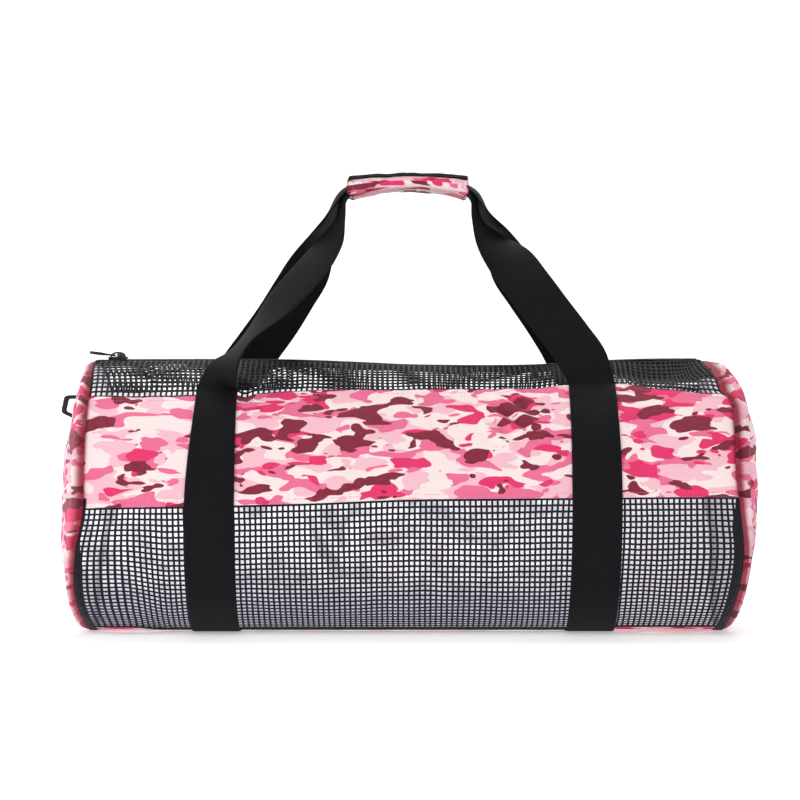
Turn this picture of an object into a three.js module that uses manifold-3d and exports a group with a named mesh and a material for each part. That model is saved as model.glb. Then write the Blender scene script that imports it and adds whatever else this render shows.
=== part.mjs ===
// A barrel gear bag of coated net and camouflage cloth, standing full, with its two carrying handles
// joined in a hand grip. Millimetres, +Z up. +X runs along the bag and the front face looks along -Y.
import * as THREE from "three";
import { mergeVertices } from "three/addons/utils/BufferGeometryUtils.js";
import Module from "manifold-3d";

// Barrel
const BODY_LENGTH = 660; // between the end seams at mid height
const BODY_HEIGHT = 287; // floor to the crown
const SECTION_RADIUS = 145;
const CLOTH_WALL = 1.5;
const NET_WALL = 1.4;
const SEAM_GAP = 0.3;
const BOTTOM_SEAM_ANGLE = -77; // degrees above the level line through the section's centre, at the front
const LEFT_END_BULGE = 33;
const RIGHT_END_BULGE = 31;

// Coarse net
const NET_STRAND = 8;
const NET_COLUMNS = 14;
const LOWER_NET_ROWS = 4;
const TOP_NET_ROWS = 2;

// Webbing handles
const WEBBING_WIDTH = 50.8;
const WEBBING_THICKNESS = 2;
const LEFT_STRAP_LINE = 203; // from the bag's middle to the strap's centre line
const RIGHT_STRAP_LINE = 190;

// Hand grip
const GRIP_LENGTH = 126;
const GRIP_TOP = 485; // floor to the top of the wrap
const GRIP_WIDTH = 56;
const GRIP_MIDDLE_HEIGHT = 17;
const GRIP_END_HEIGHT = 23.5;
const GRIP_END_DROOP = 2.5;
const GRIP_WALL = 1.4;
const GRIP_CUP = 58; // degrees that the webbing curls round inside the wrap
const CLOSURE_THICKNESS = 1.2;
const CLOSURE_FOOT_ANGLE = 20; // the closure strip's edges, in degrees up the wrap's front
const CLOSURE_TOP_ANGLE = 62;
const CLOSURE_INSET = 1; // from the wrap's ends
const GRIP_ENTRY = 8; // from the wrap's ends to where the webbing lies level
const GRIP_ARCH = 0.77; // how the wrap's outline bows above and below: 1 is round, 0 square
const GRIP_SQUARE = 0.34;

// Zip
const ZIP_TAPE_WIDTH = 12.5; // one visible tape
const ZIP_TAPE_THICKNESS = 1.2;
const ZIP_CHAIN_WIDTH = 6;
const ZIP_CHAIN_THICKNESS = 2.6;
const SLIDER_PLACE = BODY_LENGTH / 2 - 19; // from the bag's middle to the slider, near the left end seam
const SLIDER_LENGTH = 21;
const SLIDER_WIDTH = 13;
const SLIDER_PLATE = 2.2;
const SLIDER_LIP = 1.2; // the turned-in edges of both plates
const SLIDER_POST = 4;
const BAIL_HEIGHT = 5.4; // from the upper plate to the top of the bail
const BAIL_THICKNESS = 1.8;
const BAIL_WIDTH = 3;
const BAIL_LENGTH = 16.4;
const PULL_LENGTH = 27; // hinge to tip
const PULL_WIDTH = 8.5;
const PULL_TIP_WIDTH = 6;
const PULL_THICKNESS = 2;
const PULL_EYE = 12.6; // hinge to the far end of the slot that the bail passes through
const PULL_HINGE_BACK = 3.6; // hinge to the slider's middle
const PULL_RISE = 7; // degrees that the pull's tip points up

// D-ring on the left end
const RING_HEIGHT = BODY_HEIGHT - 51; // floor to the ring's middle
const RING_BACK = 50; // behind the bag's middle
const RING_BAR = 29; // length over the bar
const RING_OUTER_BAR = 19; // length over the far side
const RING_REACH = 20; // over both bars
const RING_ROD = 4;
const RING_CORNER = 4;
const TAB_WIDTH = 19;
const TAB_WALL = 1.3;
const TAB_NECK = 2.5; // from the end panel to the loop round the bar

// The crown between the handles: along is a share of half the length, drop a share of the height
const CROWN = [
  { along: -1, drop: 0 },
  { along: -0.42, drop: 0 },
  { along: -0.2, drop: 0.008 },
  { along: 0.02, drop: 0.019 },
  { along: 0.38, drop: 0.02 },
  { along: 0.66, drop: 0.002 },
  { along: 0.85, drop: -0.003 },
  { along: 1, drop: 0 },
];

// The end seams: height is a share of the body height, left and right are shares of half the length
const END_SEAMS = [
  { height: 0, left: 1.02, right: 1 },
  { height: 0.14, left: 1.04, right: 1.02 },
  { height: 0.3, left: 1.03, right: 1.03 },
  { height: 0.45, left: 1.002, right: 1.015 },
  { height: 0.6, left: 1, right: 1.003 },
  { height: 0.76, left: 1, right: 1 },
  { height: 0.9, left: 1, right: 0.955 },
  { height: 1, left: 1.012, right: 0.935 },
];

// The band's two edges, in degrees like the bottom seam's, along as in the crown
const BAND_EDGES = [
  { along: -1, foot: -3, top: 51 },
  { along: -0.6, foot: -2, top: 51 },
  { along: -0.3, foot: -1, top: 53.5 },
  { along: 0, foot: 0.5, top: 54 },
  { along: 0.35, foot: 1, top: 54.5 },
  { along: 0.62, foot: 1.3, top: 56 },
  { along: 0.8, foot: 1.5, top: 51 },
  { along: 1, foot: 1.5, top: 47.5 },
];

// How full each end panel stands: a higher power keeps it full nearer to the seam
const END_FORMS = {
  left: { side: -1, bulge: LEFT_END_BULGE, topPower: 1.8, footPower: 4 },
  right: { side: 1, bulge: RIGHT_END_BULGE, topPower: 4, footPower: 1.6 },
};

// Creases gathered into the end seams: angle and spread in degrees, depth a share of the end's bulge
const GATHERS = [
  { end: "right", angle: 48, spread: 6, depth: -0.09 },
  { end: "right", angle: 64, spread: 5, depth: -0.13 },
  { end: "right", angle: 79, spread: 5, depth: -0.1 },
  { end: "right", angle: 100, spread: 7, depth: -0.08 },
  { end: "left", angle: 66, spread: 7, depth: -0.06 },
  { end: "left", angle: -38, spread: 8, depth: -0.05 },
];

// The free legs of the handles. rise, lean and back are shares of the way from the band to the grip's end,
// upwards, along the bag and through it. turn is the webbing's twist and cup its curl, in degrees. apart
// moves it off the other handle's leg, as a share of its width.
const LEGS = {
  frontLeft: [
    { rise: 0.07, lean: 0.07, back: -0.06, turn: 44, cup: 8, apart: 0 },
    { rise: 0.16, lean: 0.155, back: 0.04, turn: 70, cup: 12, apart: 0 },
    { rise: 0.26, lean: 0.265, back: 0.18, turn: 74, cup: 14, apart: 0 },
    { rise: 0.42, lean: 0.485, back: 0.34, turn: 52, cup: 16, apart: 0 },
    { rise: 0.58, lean: 0.7, back: 0.54, turn: 48, cup: 14, apart: 0 },
    { rise: 0.74, lean: 0.83, back: 0.79, turn: 58, cup: 24, apart: -0.08 },
    { rise: 0.86, lean: 0.895, back: 0.93, turn: 80, cup: 46, apart: -0.08 },
    { rise: 0.965, lean: 0.95, back: 1, turn: 90, cup: 56, apart: -0.035 },
  ],
  frontRight: [
    { rise: 0.1, lean: 0.065, back: 0.04, turn: 8, cup: 4, apart: 0 },
    { rise: 0.22, lean: 0.19, back: 0.14, turn: 14, cup: 6, apart: 0 },
    { rise: 0.35, lean: 0.345, back: 0.27, turn: 14, cup: 6, apart: 0 },
    { rise: 0.48, lean: 0.497, back: 0.4, turn: 14, cup: 8, apart: 0 },
    { rise: 0.61, lean: 0.65, back: 0.6, turn: 20, cup: 12, apart: 0 },
    { rise: 0.74, lean: 0.8, back: 0.79, turn: 54, cup: 24, apart: -0.08 },
    { rise: 0.86, lean: 0.895, back: 0.93, turn: 80, cup: 46, apart: -0.08 },
    { rise: 0.965, lean: 0.95, back: 1, turn: 90, cup: 56, apart: -0.035 },
  ],
  rearLeft: [
    { rise: 0.1, lean: 0.13, back: 0.04, turn: 4, cup: 4, apart: 0 },
    { rise: 0.22, lean: 0.27, back: 0.14, turn: 6, cup: 6, apart: 0 },
    { rise: 0.35, lean: 0.42, back: 0.27, turn: 8, cup: 6, apart: 0 },
    { rise: 0.48, lean: 0.55, back: 0.4, turn: 14, cup: 8, apart: 0 },
    { rise: 0.61, lean: 0.68, back: 0.6, turn: 24, cup: 12, apart: 0 },
    { rise: 0.74, lean: 0.81, back: 0.79, turn: 58, cup: 24, apart: 0.1 },
    { rise: 0.86, lean: 0.895, back: 0.93, turn: 80, cup: 46, apart: 0.11 },
    { rise: 0.965, lean: 0.95, back: 1, turn: 90, cup: 56, apart: 0.035 },
  ],
  rearRight: [
    { rise: 0.1, lean: 0.075, back: 0.04, turn: 4, cup: 4, apart: 0 },
    { rise: 0.22, lean: 0.18, back: 0.14, turn: 8, cup: 6, apart: 0 },
    { rise: 0.35, lean: 0.32, back: 0.27, turn: 10, cup: 6, apart: 0 },
    { rise: 0.48, lean: 0.475, back: 0.4, turn: 16, cup: 8, apart: 0 },
    { rise: 0.61, lean: 0.63, back: 0.6, turn: 26, cup: 12, apart: 0 },
    { rise: 0.74, lean: 0.77, back: 0.79, turn: 58, cup: 24, apart: 0.1 },
    { rise: 0.86, lean: 0.895, back: 0.93, turn: 80, cup: 46, apart: 0.11 },
    { rise: 0.965, lean: 0.95, back: 1, turn: 90, cup: 56, apart: 0.035 },
  ],
};

// How finely the surfaces are divided
const BAND_STEPS = 6;
const BACK_STEPS = 10;
const BOTTOM_STEPS = 3;
const END_RINGS = 5;
const STRAP_ACROSS_STEPS = 4;
const GRIP_STEPS = 6;
const GRIP_ROUND_STEPS = 18;
const CLOSURE_STEPS = 3;
const ARC_SEGMENTS = 8;

// Values worked out from the sizes
const TAB_LOOP = RING_ROD * Math.SQRT1_2 + SEAM_GAP + TAB_WALL; // outer radius of the loop round the bar
const FLOOR_LIFT = WEBBING_THICKNESS + SEAM_GAP;
const CENTRE_HEIGHT = BODY_HEIGHT - SECTION_RADIUS;
const HALF_SEAM_ANGLE = SEAM_GAP / 2 / SECTION_RADIUS;
const TOP_ANGLE = Math.PI / 2;
const CHAIN_EDGE = ZIP_CHAIN_WIDTH / 2;
const TAPE_EDGE = CHAIN_EDGE + SEAM_GAP;
const ZIP_HALF_WIDTH = TAPE_EDGE + ZIP_TAPE_WIDTH;
const ZIP_LINES = [-ZIP_HALF_WIDTH, -TAPE_EDGE, -CHAIN_EDGE, CHAIN_EDGE, TAPE_EDGE, ZIP_HALF_WIDTH];
const { degToRad, lerp } = THREE.MathUtils;
const strapShare = (x) => 0.5 + x / BODY_LENGTH; // about where a strap lies on the way from seam to seam

const cloth = new THREE.MeshStandardMaterial({ color: 0xf08cae, roughness: 0.85, metalness: 0 });
const net = new THREE.MeshStandardMaterial({ color: 0x24242a, roughness: 0.5, metalness: 0 });
const webbing = new THREE.MeshStandardMaterial({ color: 0x1c1c20, roughness: 0.8, metalness: 0 });
const zipCloth = new THREE.MeshStandardMaterial({ color: 0x18181b, roughness: 0.8, metalness: 0 });
const zipMetal = new THREE.MeshStandardMaterial({ color: 0x3a3a3e, roughness: 0.35, metalness: 0.8 });
const plastic = new THREE.MeshStandardMaterial({ color: 0x222226, roughness: 0.4, metalness: 0 });

// A smooth curve through one column of a table, read at a place on its key column
function readTable(table, key, column, at) {
  const last = table.length - 1;
  const place = THREE.MathUtils.clamp(at, table[0][key], table[last][key]);
  const row = Math.min(Math.max(table.findIndex((r) => r[key] >= place), 1), last);
  const [a, b] = [table[row - 1], table[row]];
  const [before, after] = [table[Math.max(row - 2, 0)], table[Math.min(row + 1, last)]];
  const span = b[key] - a[key];
  const t = (place - a[key]) / span;
  const slopeA = ((b[column] - before[column]) / (b[key] - before[key])) * span;
  const slopeB = ((after[column] - a[column]) / (after[key] - a[key])) * span;
  const [t2, t3] = [t * t, t * t * t];
  return (
    (2 * t3 - 3 * t2 + 1) * a[column] +
    (t3 - 2 * t2 + t) * slopeA +
    (3 * t2 - 2 * t3) * b[column] +
    (t3 - t2) * slopeB
  );
}

// Even steps from one value to another, both included
function steps(from, to, count) {
  return Array.from({ length: count + 1 }, (_, i) => lerp(from, to, i / count));
}

// The lines of a net across a length, as shares of it: strands and gaps take turns
function netLines(gaps, length) {
  const pitch = (length - NET_STRAND) / gaps;
  return Array.from({ length: gaps + 1 }, (_, i) => [i * pitch, i * pitch + NET_STRAND])
    .flat()
    .map((place) => place / length);
}

// One closed sheet between an outer and an inner surface of two parameters, cut through where a cell is a
// gap. The outer surface faces the way of the along direction crossed with the across direction.
function sheet({ along, across, outer, inner, closed = false, isGap = () => false }) {
  const rows = across.length;
  const layers = [outer, inner].map((point) => along.map((s) => across.map((t) => point(s, t))));
  const points = layers.flat(2);
  const columns = closed ? along.length : along.length - 1;
  const index = [];
  const vertex = (layer, i, j) => (layer * along.length + (i % along.length)) * rows + j;
  const missing = (i, j) => {
    const column = closed ? (i + columns) % columns : i;
    return column < 0 || column >= columns || j < 0 || j >= rows - 1 || isGap(column, j);
  };
  const same = (a, b) => points[a].distanceTo(points[b]) < SEAM_GAP / 1000;
  const triangle = (a, b, c) => {
    if (!same(a, b) && !same(b, c) && !same(a, c)) index.push(a, b, c);
  };
  const wall = (a, b) => {
    const half = points.length / 2;
    triangle(b, a, a + half);
    triangle(b, a + half, b + half);
  };
  for (let i = 0; i < columns; i++) {
    for (let j = 0; j < rows - 1; j++) {
      if (missing(i, j)) continue;
      const corners = [[i, j], [i + 1, j], [i + 1, j + 1], [i, j + 1]];
      const [a, b, c, d] = corners.map(([column, row]) => vertex(0, column, row));
      const [e, f, g, h] = corners.map(([column, row]) => vertex(1, column, row));
      triangle(a, b, c);
      triangle(a, c, d);
      triangle(e, g, f);
      triangle(e, h, g);
      if (missing(i, j - 1)) wall(a, b);
      if (missing(i + 1, j)) wall(b, c);
      if (missing(i, j + 1)) wall(c, d);
      if (missing(i - 1, j)) wall(d, a);
    }
  }
  const geometry = new THREE.BufferGeometry();
  geometry.setAttribute("position", new THREE.Float32BufferAttribute(points.flatMap((p) => p.toArray()), 3));
  geometry.setIndex(index);
  return geometry;
}

// The barrel's skin

// A point at a distance along the bag and an angle round it, raised off the outer face of the cloth by lift
function bodyPoint(x, angle, lift) {
  const radius = SECTION_RADIUS + lift;
  const drop = readTable(CROWN, "along", "drop", (2 * x) / BODY_LENGTH) * BODY_HEIGHT;
  const height = CENTRE_HEIGHT + radius * Math.sin(angle) - drop * Math.max(0, Math.sin(angle)) ** 2;
  return new THREE.Vector3(x, -radius * Math.cos(angle), Math.max(height, FLOOR_LIFT - lift));
}

// Where the end seam crosses an angle, from the bag's middle
function seamPlace(end, angle) {
  const height = Math.max(0, CENTRE_HEIGHT + SECTION_RADIUS * Math.sin(angle)) / BODY_HEIGHT;
  return END_FORMS[end].side * (BODY_LENGTH / 2) * readTable(END_SEAMS, "height", end, height);
}

// A point of the barrel by its share of the way from the left seam to the right one
function skinPoint(share, angle, lift) {
  const x = lerp(seamPlace("left", angle) + SEAM_GAP / 2, seamPlace("right", angle) - SEAM_GAP / 2, share);
  return bodyPoint(x, angle, lift);
}

// The angle of a seam that runs along the bag. Those on the back mirror the front's.
const bandEdge = (column) => (share) => degToRad(readTable(BAND_EDGES, "along", column, 2 * share - 1));
const bandFoot = bandEdge("foot");
const bandTop = bandEdge("top");
const bottomSeam = () => degToRad(BOTTOM_SEAM_ANGLE);
const crownAngle = (y) => TOP_ANGLE + y / SECTION_RADIUS;
const zipSeam = () => crownAngle(-ZIP_HALF_WIDTH - SEAM_GAP / 2);
const onBack = (seam) => (share) => Math.PI - seam(share);

// Every panel shares its lines across the bag with its neighbours
const LENGTH_LINES = netLines(NET_COLUMNS, BODY_LENGTH);

function clothPanel(name, from, to, rows) {
  return { name, from, to, wall: CLOTH_WALL, across: steps(0, 1, rows) };
}

function netPanel(name, from, to, rows) {
  const across = netLines(rows, Math.abs(to(0.5) - from(0.5)) * SECTION_RADIUS);
  return { name, from, to, wall: NET_WALL, across, isGap: (i, j) => i % 2 === 1 && j % 2 === 1 };
}

// The barrel's panels, from the seam under the front up over the crown and down the back
const PANELS = [
  netPanel("front_lower_net", bottomSeam, bandFoot, LOWER_NET_ROWS),
  clothPanel("front_band", bandFoot, bandTop, BAND_STEPS),
  netPanel("front_top_net", bandTop, zipSeam, TOP_NET_ROWS),
  netPanel("back_top_net", onBack(zipSeam), onBack(bandTop), TOP_NET_ROWS),
  clothPanel("back_panel", onBack(bandTop), onBack(bottomSeam), BACK_STEPS),
  clothPanel("bottom_panel", onBack(bottomSeam), () => 2 * Math.PI + bottomSeam(), BOTTOM_STEPS),
];

// The angle of a panel's line at a share of the length
function panelAngle({ from, to }, share, t) {
  return lerp(from(share) + HALF_SEAM_ANGLE, to(share) - HALF_SEAM_ANGLE, t);
}

function panelSheet(panel) {
  return sheet({
    along: LENGTH_LINES,
    across: panel.across,
    outer: (share, t) => skinPoint(share, panelAngle(panel, share, t), 0),
    inner: (share, t) => skinPoint(share, panelAngle(panel, share, t), -panel.wall),
    isGap: panel.isGap,
  });
}

// The end panels

// A point of an end panel at an angle round it and a share of the way from its middle to its seam
function endPoint(end, angle, share, lift) {
  const { side, bulge, topPower, footPower } = END_FORMS[end];
  const power = lerp(footPower, topPower, (1 + Math.sin(angle)) / 2);
  const rim = bodyPoint(seamPlace(end, angle) + side * (SEAM_GAP / 2), angle, lift);
  const fullness = Math.sqrt(Math.max(0, 1 - share ** power));
  const turned = Math.atan2(Math.sin(angle), Math.cos(angle));
  const creases = GATHERS.filter((gather) => gather.end === end)
    .map(({ angle: at, spread, depth }) => {
      const off = (turned - degToRad(at)) / degToRad(spread);
      return depth * bulge * Math.exp(-off * off) * Math.sin(Math.PI * share ** 2);
    })
    .reduce((total, crease) => total + crease, 0);
  const crest = side * (BODY_LENGTH / 2 + bulge + lift);
  return new THREE.Vector3(
    lerp(rim.x, crest, fullness) + side * creases,
    rim.y * share,
    lerp(CENTRE_HEIGHT, rim.z, share),
  );
}

function endPanel(end) {
  const share = end === "left" ? 0 : 1;
  const seams = PANELS.flatMap((panel) => panel.across.map((t) => panelAngle(panel, share, t)));
  const turns = [...seams, ...ZIP_LINES.map(crownAngle)].sort((a, b) => a - b);
  const rings = steps(0, 1, END_RINGS).map((share) => Math.sin((share * Math.PI) / 2));
  return sheet({
    along: turns,
    across: end === "right" ? rings : [...rings].reverse(),
    outer: (angle, share) => endPoint(end, angle, share, 0),
    inner: (angle, share) => endPoint(end, angle, share, -CLOTH_WALL),
    closed: true,
  });
}

// The hand grip and the webbing

// The wrap's middle line at a distance along the bag: its height above the floor and half the wrap's height
function gripLine(x) {
  const share = Math.abs(x) / (GRIP_LENGTH / 2);
  const height = lerp(GRIP_MIDDLE_HEIGHT, GRIP_END_HEIGHT, share ** 2);
  const top = GRIP_TOP - GRIP_END_DROOP * share ** 2;
  return { middle: top - height / 2, half: height / 2 };
}

// A point of the wrap at a distance along the bag and an angle round it: arched above, squarer below
function gripPoint(x, angle, lift) {
  const { middle, half } = gripLine(x);
  const roundness = Math.sin(angle) > 0 ? GRIP_ARCH : GRIP_SQUARE;
  const bow = (value) => Math.sign(value) * Math.abs(value) ** roundness;
  return new THREE.Vector3(
    x,
    -(GRIP_WIDTH / 2 + lift) * bow(Math.cos(angle)),
    middle + (half + lift) * bow(Math.sin(angle)),
  );
}

function gripWrap() {
  return sheet({
    along: steps(0, 2 * Math.PI, GRIP_ROUND_STEPS).slice(0, -1),
    across: steps(GRIP_LENGTH / 2, -GRIP_LENGTH / 2, GRIP_STEPS),
    outer: (angle, x) => gripPoint(x, angle, 0),
    inner: (angle, x) => gripPoint(x, angle, -GRIP_WALL),
    closed: true,
  });
}

function gripClosure() {
  const end = GRIP_LENGTH / 2 - CLOSURE_INSET;
  return sheet({
    along: steps(-end, end, GRIP_STEPS),
    across: steps(degToRad(CLOSURE_FOOT_ANGLE), degToRad(CLOSURE_TOP_ANGLE), CLOSURE_STEPS),
    outer: (x, angle) => gripPoint(x, angle, SEAM_GAP + CLOSURE_THICKNESS),
    inner: (x, angle) => gripPoint(x, angle, SEAM_GAP),
  });
}

// The panels that each handle is sewn over, by its face
const SEWN_PANELS = { [-1]: ["front_lower_net", "front_band"], 1: ["back_panel"] };

// The webbing sewn to the barrel, in sections on the lines of the panels under it, from below the bag up to
// the band's top. width is a share of the webbing's width either way from its middle line, depth a share of
// its thickness out from its middle.
function sewnSections(x, turned, face) {
  const under = face < 0 ? HALF_SEAM_ANGLE - TOP_ANGLE : 3 * TOP_ANGLE - HALF_SEAM_ANGLE;
  const panels = PANELS.filter(({ name }) => SEWN_PANELS[face].includes(name));
  const lines = panels.flatMap((panel) => panel.across.map((t) => (share) => panelAngle(panel, share, t)));
  if (face > 0) lines.reverse();
  return [() => under, ...lines].map((line) => (width, depth) => {
    const place = x + turned * width * WEBBING_WIDTH;
    return bodyPoint(place, line(strapShare(place)), SEAM_GAP + WEBBING_THICKNESS * (0.5 + depth));
  });
}

// A section of free webbing, curled round its middle line with its outer face arched out
function freeSection({ centre, along, out, cup }) {
  const across = new THREE.Vector3().crossVectors(out, along);
  const radius = WEBBING_WIDTH / cup;
  const rise = (radius * (1 - Math.cos(cup / 2))) / 2;
  return (width, depth) => {
    const angle = width * cup;
    const reach = radius + depth * WEBBING_THICKNESS;
    return centre
      .clone()
      .addScaledVector(across, reach * Math.sin(angle))
      .addScaledVector(out, reach * Math.cos(angle) - radius + rise);
  };
}

// One leg's free sections from the band to the grip. face is -1 in front and 1 behind, side -1 left and 1
// right.
function legSections(rows, face, side) {
  const line = side < 0 ? LEFT_STRAP_LINE : RIGHT_STRAP_LINE;
  const x = side * line;
  const anchor = bodyPoint(x, bandTop(strapShare(x)), SEAM_GAP + WEBBING_THICKNESS / 2);
  anchor.y *= -face;
  const gripEnd = (side * GRIP_LENGTH) / 2;
  const target = new THREE.Vector3(gripEnd, 0, gripLine(gripEnd).middle);
  const centres = rows.map(
    ({ rise, lean, back }) =>
      new THREE.Vector3(
        lerp(anchor.x, target.x, lean),
        lerp(anchor.y, target.y, back),
        lerp(anchor.z, target.z, rise),
      ),
  );
  const path = [anchor, ...centres, target];
  return rows.map(({ turn, cup, apart }, i) => {
    const along = path[i + 2].clone().sub(path[i]).setY(0).normalize();
    const level = new THREE.Vector3(0, face, 0);
    const upper = new THREE.Vector3().crossVectors(along, level).multiplyScalar(-face * side);
    const angle = degToRad(turn);
    const out = level.multiplyScalar(Math.cos(angle)).addScaledVector(upper, Math.sin(angle));
    const centre = path[i + 1].clone().addScaledVector(out, apart * WEBBING_WIDTH);
    return freeSection({ centre, along: along.multiplyScalar(-side), out, cup: degToRad(cup) });
  });
}

// The sections inside the wrap, the rear handle's webbing nested on the front one's
function gripSections(face) {
  const nested = (face * (WEBBING_THICKNESS + 2 * SEAM_GAP)) / 2 / Math.cos(degToRad(GRIP_CUP / 2));
  const reach = GRIP_LENGTH / 2 - GRIP_ENTRY;
  return steps(-reach, reach, GRIP_STEPS).map((x) =>
    freeSection({
      centre: new THREE.Vector3(x, 0, gripLine(x).middle + nested),
      along: new THREE.Vector3(1, 0, 0),
      out: new THREE.Vector3(0, 0, 1),
      cup: degToRad(GRIP_CUP),
    }),
  );
}

// A whole handle: up the body from under the bag, free to the grip, and down the other side
function handle(face, leftRows, rightRows) {
  const sections = [
    ...sewnSections(-LEFT_STRAP_LINE, face, face),
    ...legSections(leftRows, face, -1),
    ...gripSections(face),
    ...legSections(rightRows, face, 1).reverse(),
    ...sewnSections(RIGHT_STRAP_LINE, -face, face).reverse(),
  ];
  return sheet({
    along: sections.keys().toArray(),
    across: steps(-0.5, 0.5, STRAP_ACROSS_STEPS),
    outer: (i, width) => sections[i](width, 0.5),
    inner: (i, width) => sections[i](width, -0.5),
  });
}

// The zip

// A strip along the crown between two distances from the middle line, across the bag
function crownStrip(from, to, top, bottom, shares) {
  return sheet({
    along: shares,
    across: [from, to],
    outer: (share, y) => skinPoint(share, crownAngle(y), top),
    inner: (share, y) => skinPoint(share, crownAngle(y), bottom),
  });
}

const zipTape = (from, to) => crownStrip(from, to, 0, -ZIP_TAPE_THICKNESS, LENGTH_LINES);

// The chain ends inside the slider, just short of its post
function zipChain() {
  const start = SLIDER_POST + SEAM_GAP - SLIDER_PLACE - SLIDER_LENGTH / 2;
  const left = seamPlace("left", TOP_ANGLE);
  const share = (start - left) / (seamPlace("right", TOP_ANGLE) - left);
  const middle = -ZIP_TAPE_THICKNESS / 2;
  const half = ZIP_CHAIN_THICKNESS / 2;
  const shares = [share, ...LENGTH_LINES.filter((line) => line > share)];
  return crownStrip(-CHAIN_EDGE, CHAIN_EDGE, middle + half, middle - half, shares);
}

// A closed geometry as a solid that can be joined or cut, and a solid as a geometry
const wasm = await Module();
wasm.setup();

function toSolid(geometry) {
  const bare = geometry.clone();
  bare.deleteAttribute("normal");
  bare.deleteAttribute("uv");
  const merged = mergeVertices(bare);
  const triVerts = new Uint32Array(merged.index.array);
  return new wasm.Manifold(
    new wasm.Mesh({ numProp: 3, vertProperties: merged.attributes.position.array, triVerts }),
  );
}

function joined(geometries) {
  const mesh = geometries
    .map(toSolid)
    .reduce((whole, piece) => whole.add(piece))
    .getMesh();
  const geometry = new THREE.BufferGeometry();
  geometry.setAttribute("position", new THREE.Float32BufferAttribute(mesh.vertProperties, 3));
  geometry.setIndex([...mesh.triVerts]);
  return geometry;
}

// A box between two corners
function block(low, high) {
  const size = high.map((value, i) => value - low[i]);
  const middle = high.map((value, i) => (value + low[i]) / 2);
  return new THREE.BoxGeometry(...size).translate(...middle);
}

// An outline in X and Z, given thickness along Y about the middle
function uprightPlate(shape, thickness) {
  return new THREE.ExtrudeGeometry(shape, {
    depth: thickness,
    bevelEnabled: false,
    curveSegments: ARC_SEGMENTS,
  })
    .translate(0, 0, -thickness / 2)
    .rotateX(Math.PI / 2);
}

// Two plates with turned-in lips, a post at the closed end and the bail. The origin is the chain's middle.
function zipSlider() {
  const length = SLIDER_LENGTH / 2;
  const width = SLIDER_WIDTH / 2;
  const lipWidth = width - SLIDER_LIP;
  const inner = ZIP_CHAIN_THICKNESS / 2 + SEAM_GAP;
  const outer = inner + SLIDER_PLATE;
  const lip = ZIP_TAPE_THICKNESS / 2 + SEAM_GAP;
  const arch = new THREE.Shape();
  const reach = BAIL_LENGTH / 2;
  arch.absellipse(0, 0, reach, BAIL_HEIGHT, 0, Math.PI);
  arch.lineTo(-reach + BAIL_THICKNESS, 0);
  arch.absellipse(0, 0, reach - BAIL_THICKNESS, BAIL_HEIGHT - BAIL_THICKNESS, Math.PI, 0, true);
  const feet = outer - SLIDER_PLATE / 2;
  const halves = [1, -1].flatMap((side) => {
    const span = (from, to) => [Math.min(side * from, side * to), Math.max(side * from, side * to)];
    const [plateLow, plateHigh] = span(inner, outer);
    const [lipLow, lipHigh] = span(lip, inner + SLIDER_PLATE / 2);
    return [
      block([-length, -width, plateLow], [length, width, plateHigh]),
      block([-length, -width, lipLow], [length, -lipWidth, lipHigh]),
      block([-length, lipWidth, lipLow], [length, width, lipHigh]),
    ];
  });
  const post = block(
    [-length, -SLIDER_POST / 2, -inner - SLIDER_PLATE / 2],
    [SLIDER_POST - length, SLIDER_POST / 2, inner + SLIDER_PLATE / 2],
  );
  const legs = [-reach, reach - BAIL_THICKNESS].map((x) =>
    block([x, -BAIL_WIDTH / 2, feet], [x + BAIL_THICKNESS, BAIL_WIDTH / 2, outer + SEAM_GAP]),
  );
  return joined([...halves, post, ...legs, uprightPlate(arch, BAIL_WIDTH).translate(0, 0, outer)]);
}

// A tapered tab with a slot, pointing along -X from its hinge at the origin
function zipPull() {
  const half = PULL_WIDTH / 2;
  const tip = PULL_TIP_WIDTH / 2;
  const bar = PULL_THICKNESS / 2;
  const slot = BAIL_WIDTH / 2 + 1.5 * SEAM_GAP;
  const shape = new THREE.Shape();
  shape.moveTo(bar, -half);
  shape.lineTo(bar, half);
  shape.lineTo(-PULL_EYE, half);
  shape.lineTo(tip - PULL_LENGTH, tip);
  shape.absarc(tip - PULL_LENGTH, 0, tip, Math.PI / 2, (3 * Math.PI) / 2);
  shape.lineTo(-PULL_EYE, -half);
  const eye = new THREE.Path();
  eye.moveTo(-bar, -slot);
  eye.lineTo(-PULL_EYE, -slot);
  eye.lineTo(-PULL_EYE, slot);
  eye.lineTo(-bar, slot);
  shape.holes.push(eye);
  return new THREE.ExtrudeGeometry(shape, {
    depth: PULL_THICKNESS,
    bevelEnabled: false,
    curveSegments: ARC_SEGMENTS,
  }).translate(0, 0, -PULL_THICKNESS / 2);
}

// The D-ring

// A four-sided outline with rounded corners, from its near side to its far side, each with its half height
function ringOutline(near, nearHalf, far, farHalf, corner) {
  const corners = [
    [near, -nearHalf],
    [near, nearHalf],
    [far, farHalf],
    [far, -farHalf],
  ].map(([x, z]) => new THREE.Vector2(x, z));
  return corners.flatMap((point, i) => {
    const [before, after] = [corners[(i + 3) % 4], corners[(i + 1) % 4]];
    const start = point.clone().add(before.clone().sub(point).setLength(corner));
    const end = point.clone().add(after.clone().sub(point).setLength(corner));
    return new THREE.QuadraticBezierCurve(start, point, end).getPoints(ARC_SEGMENTS / 2);
  });
}

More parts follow.
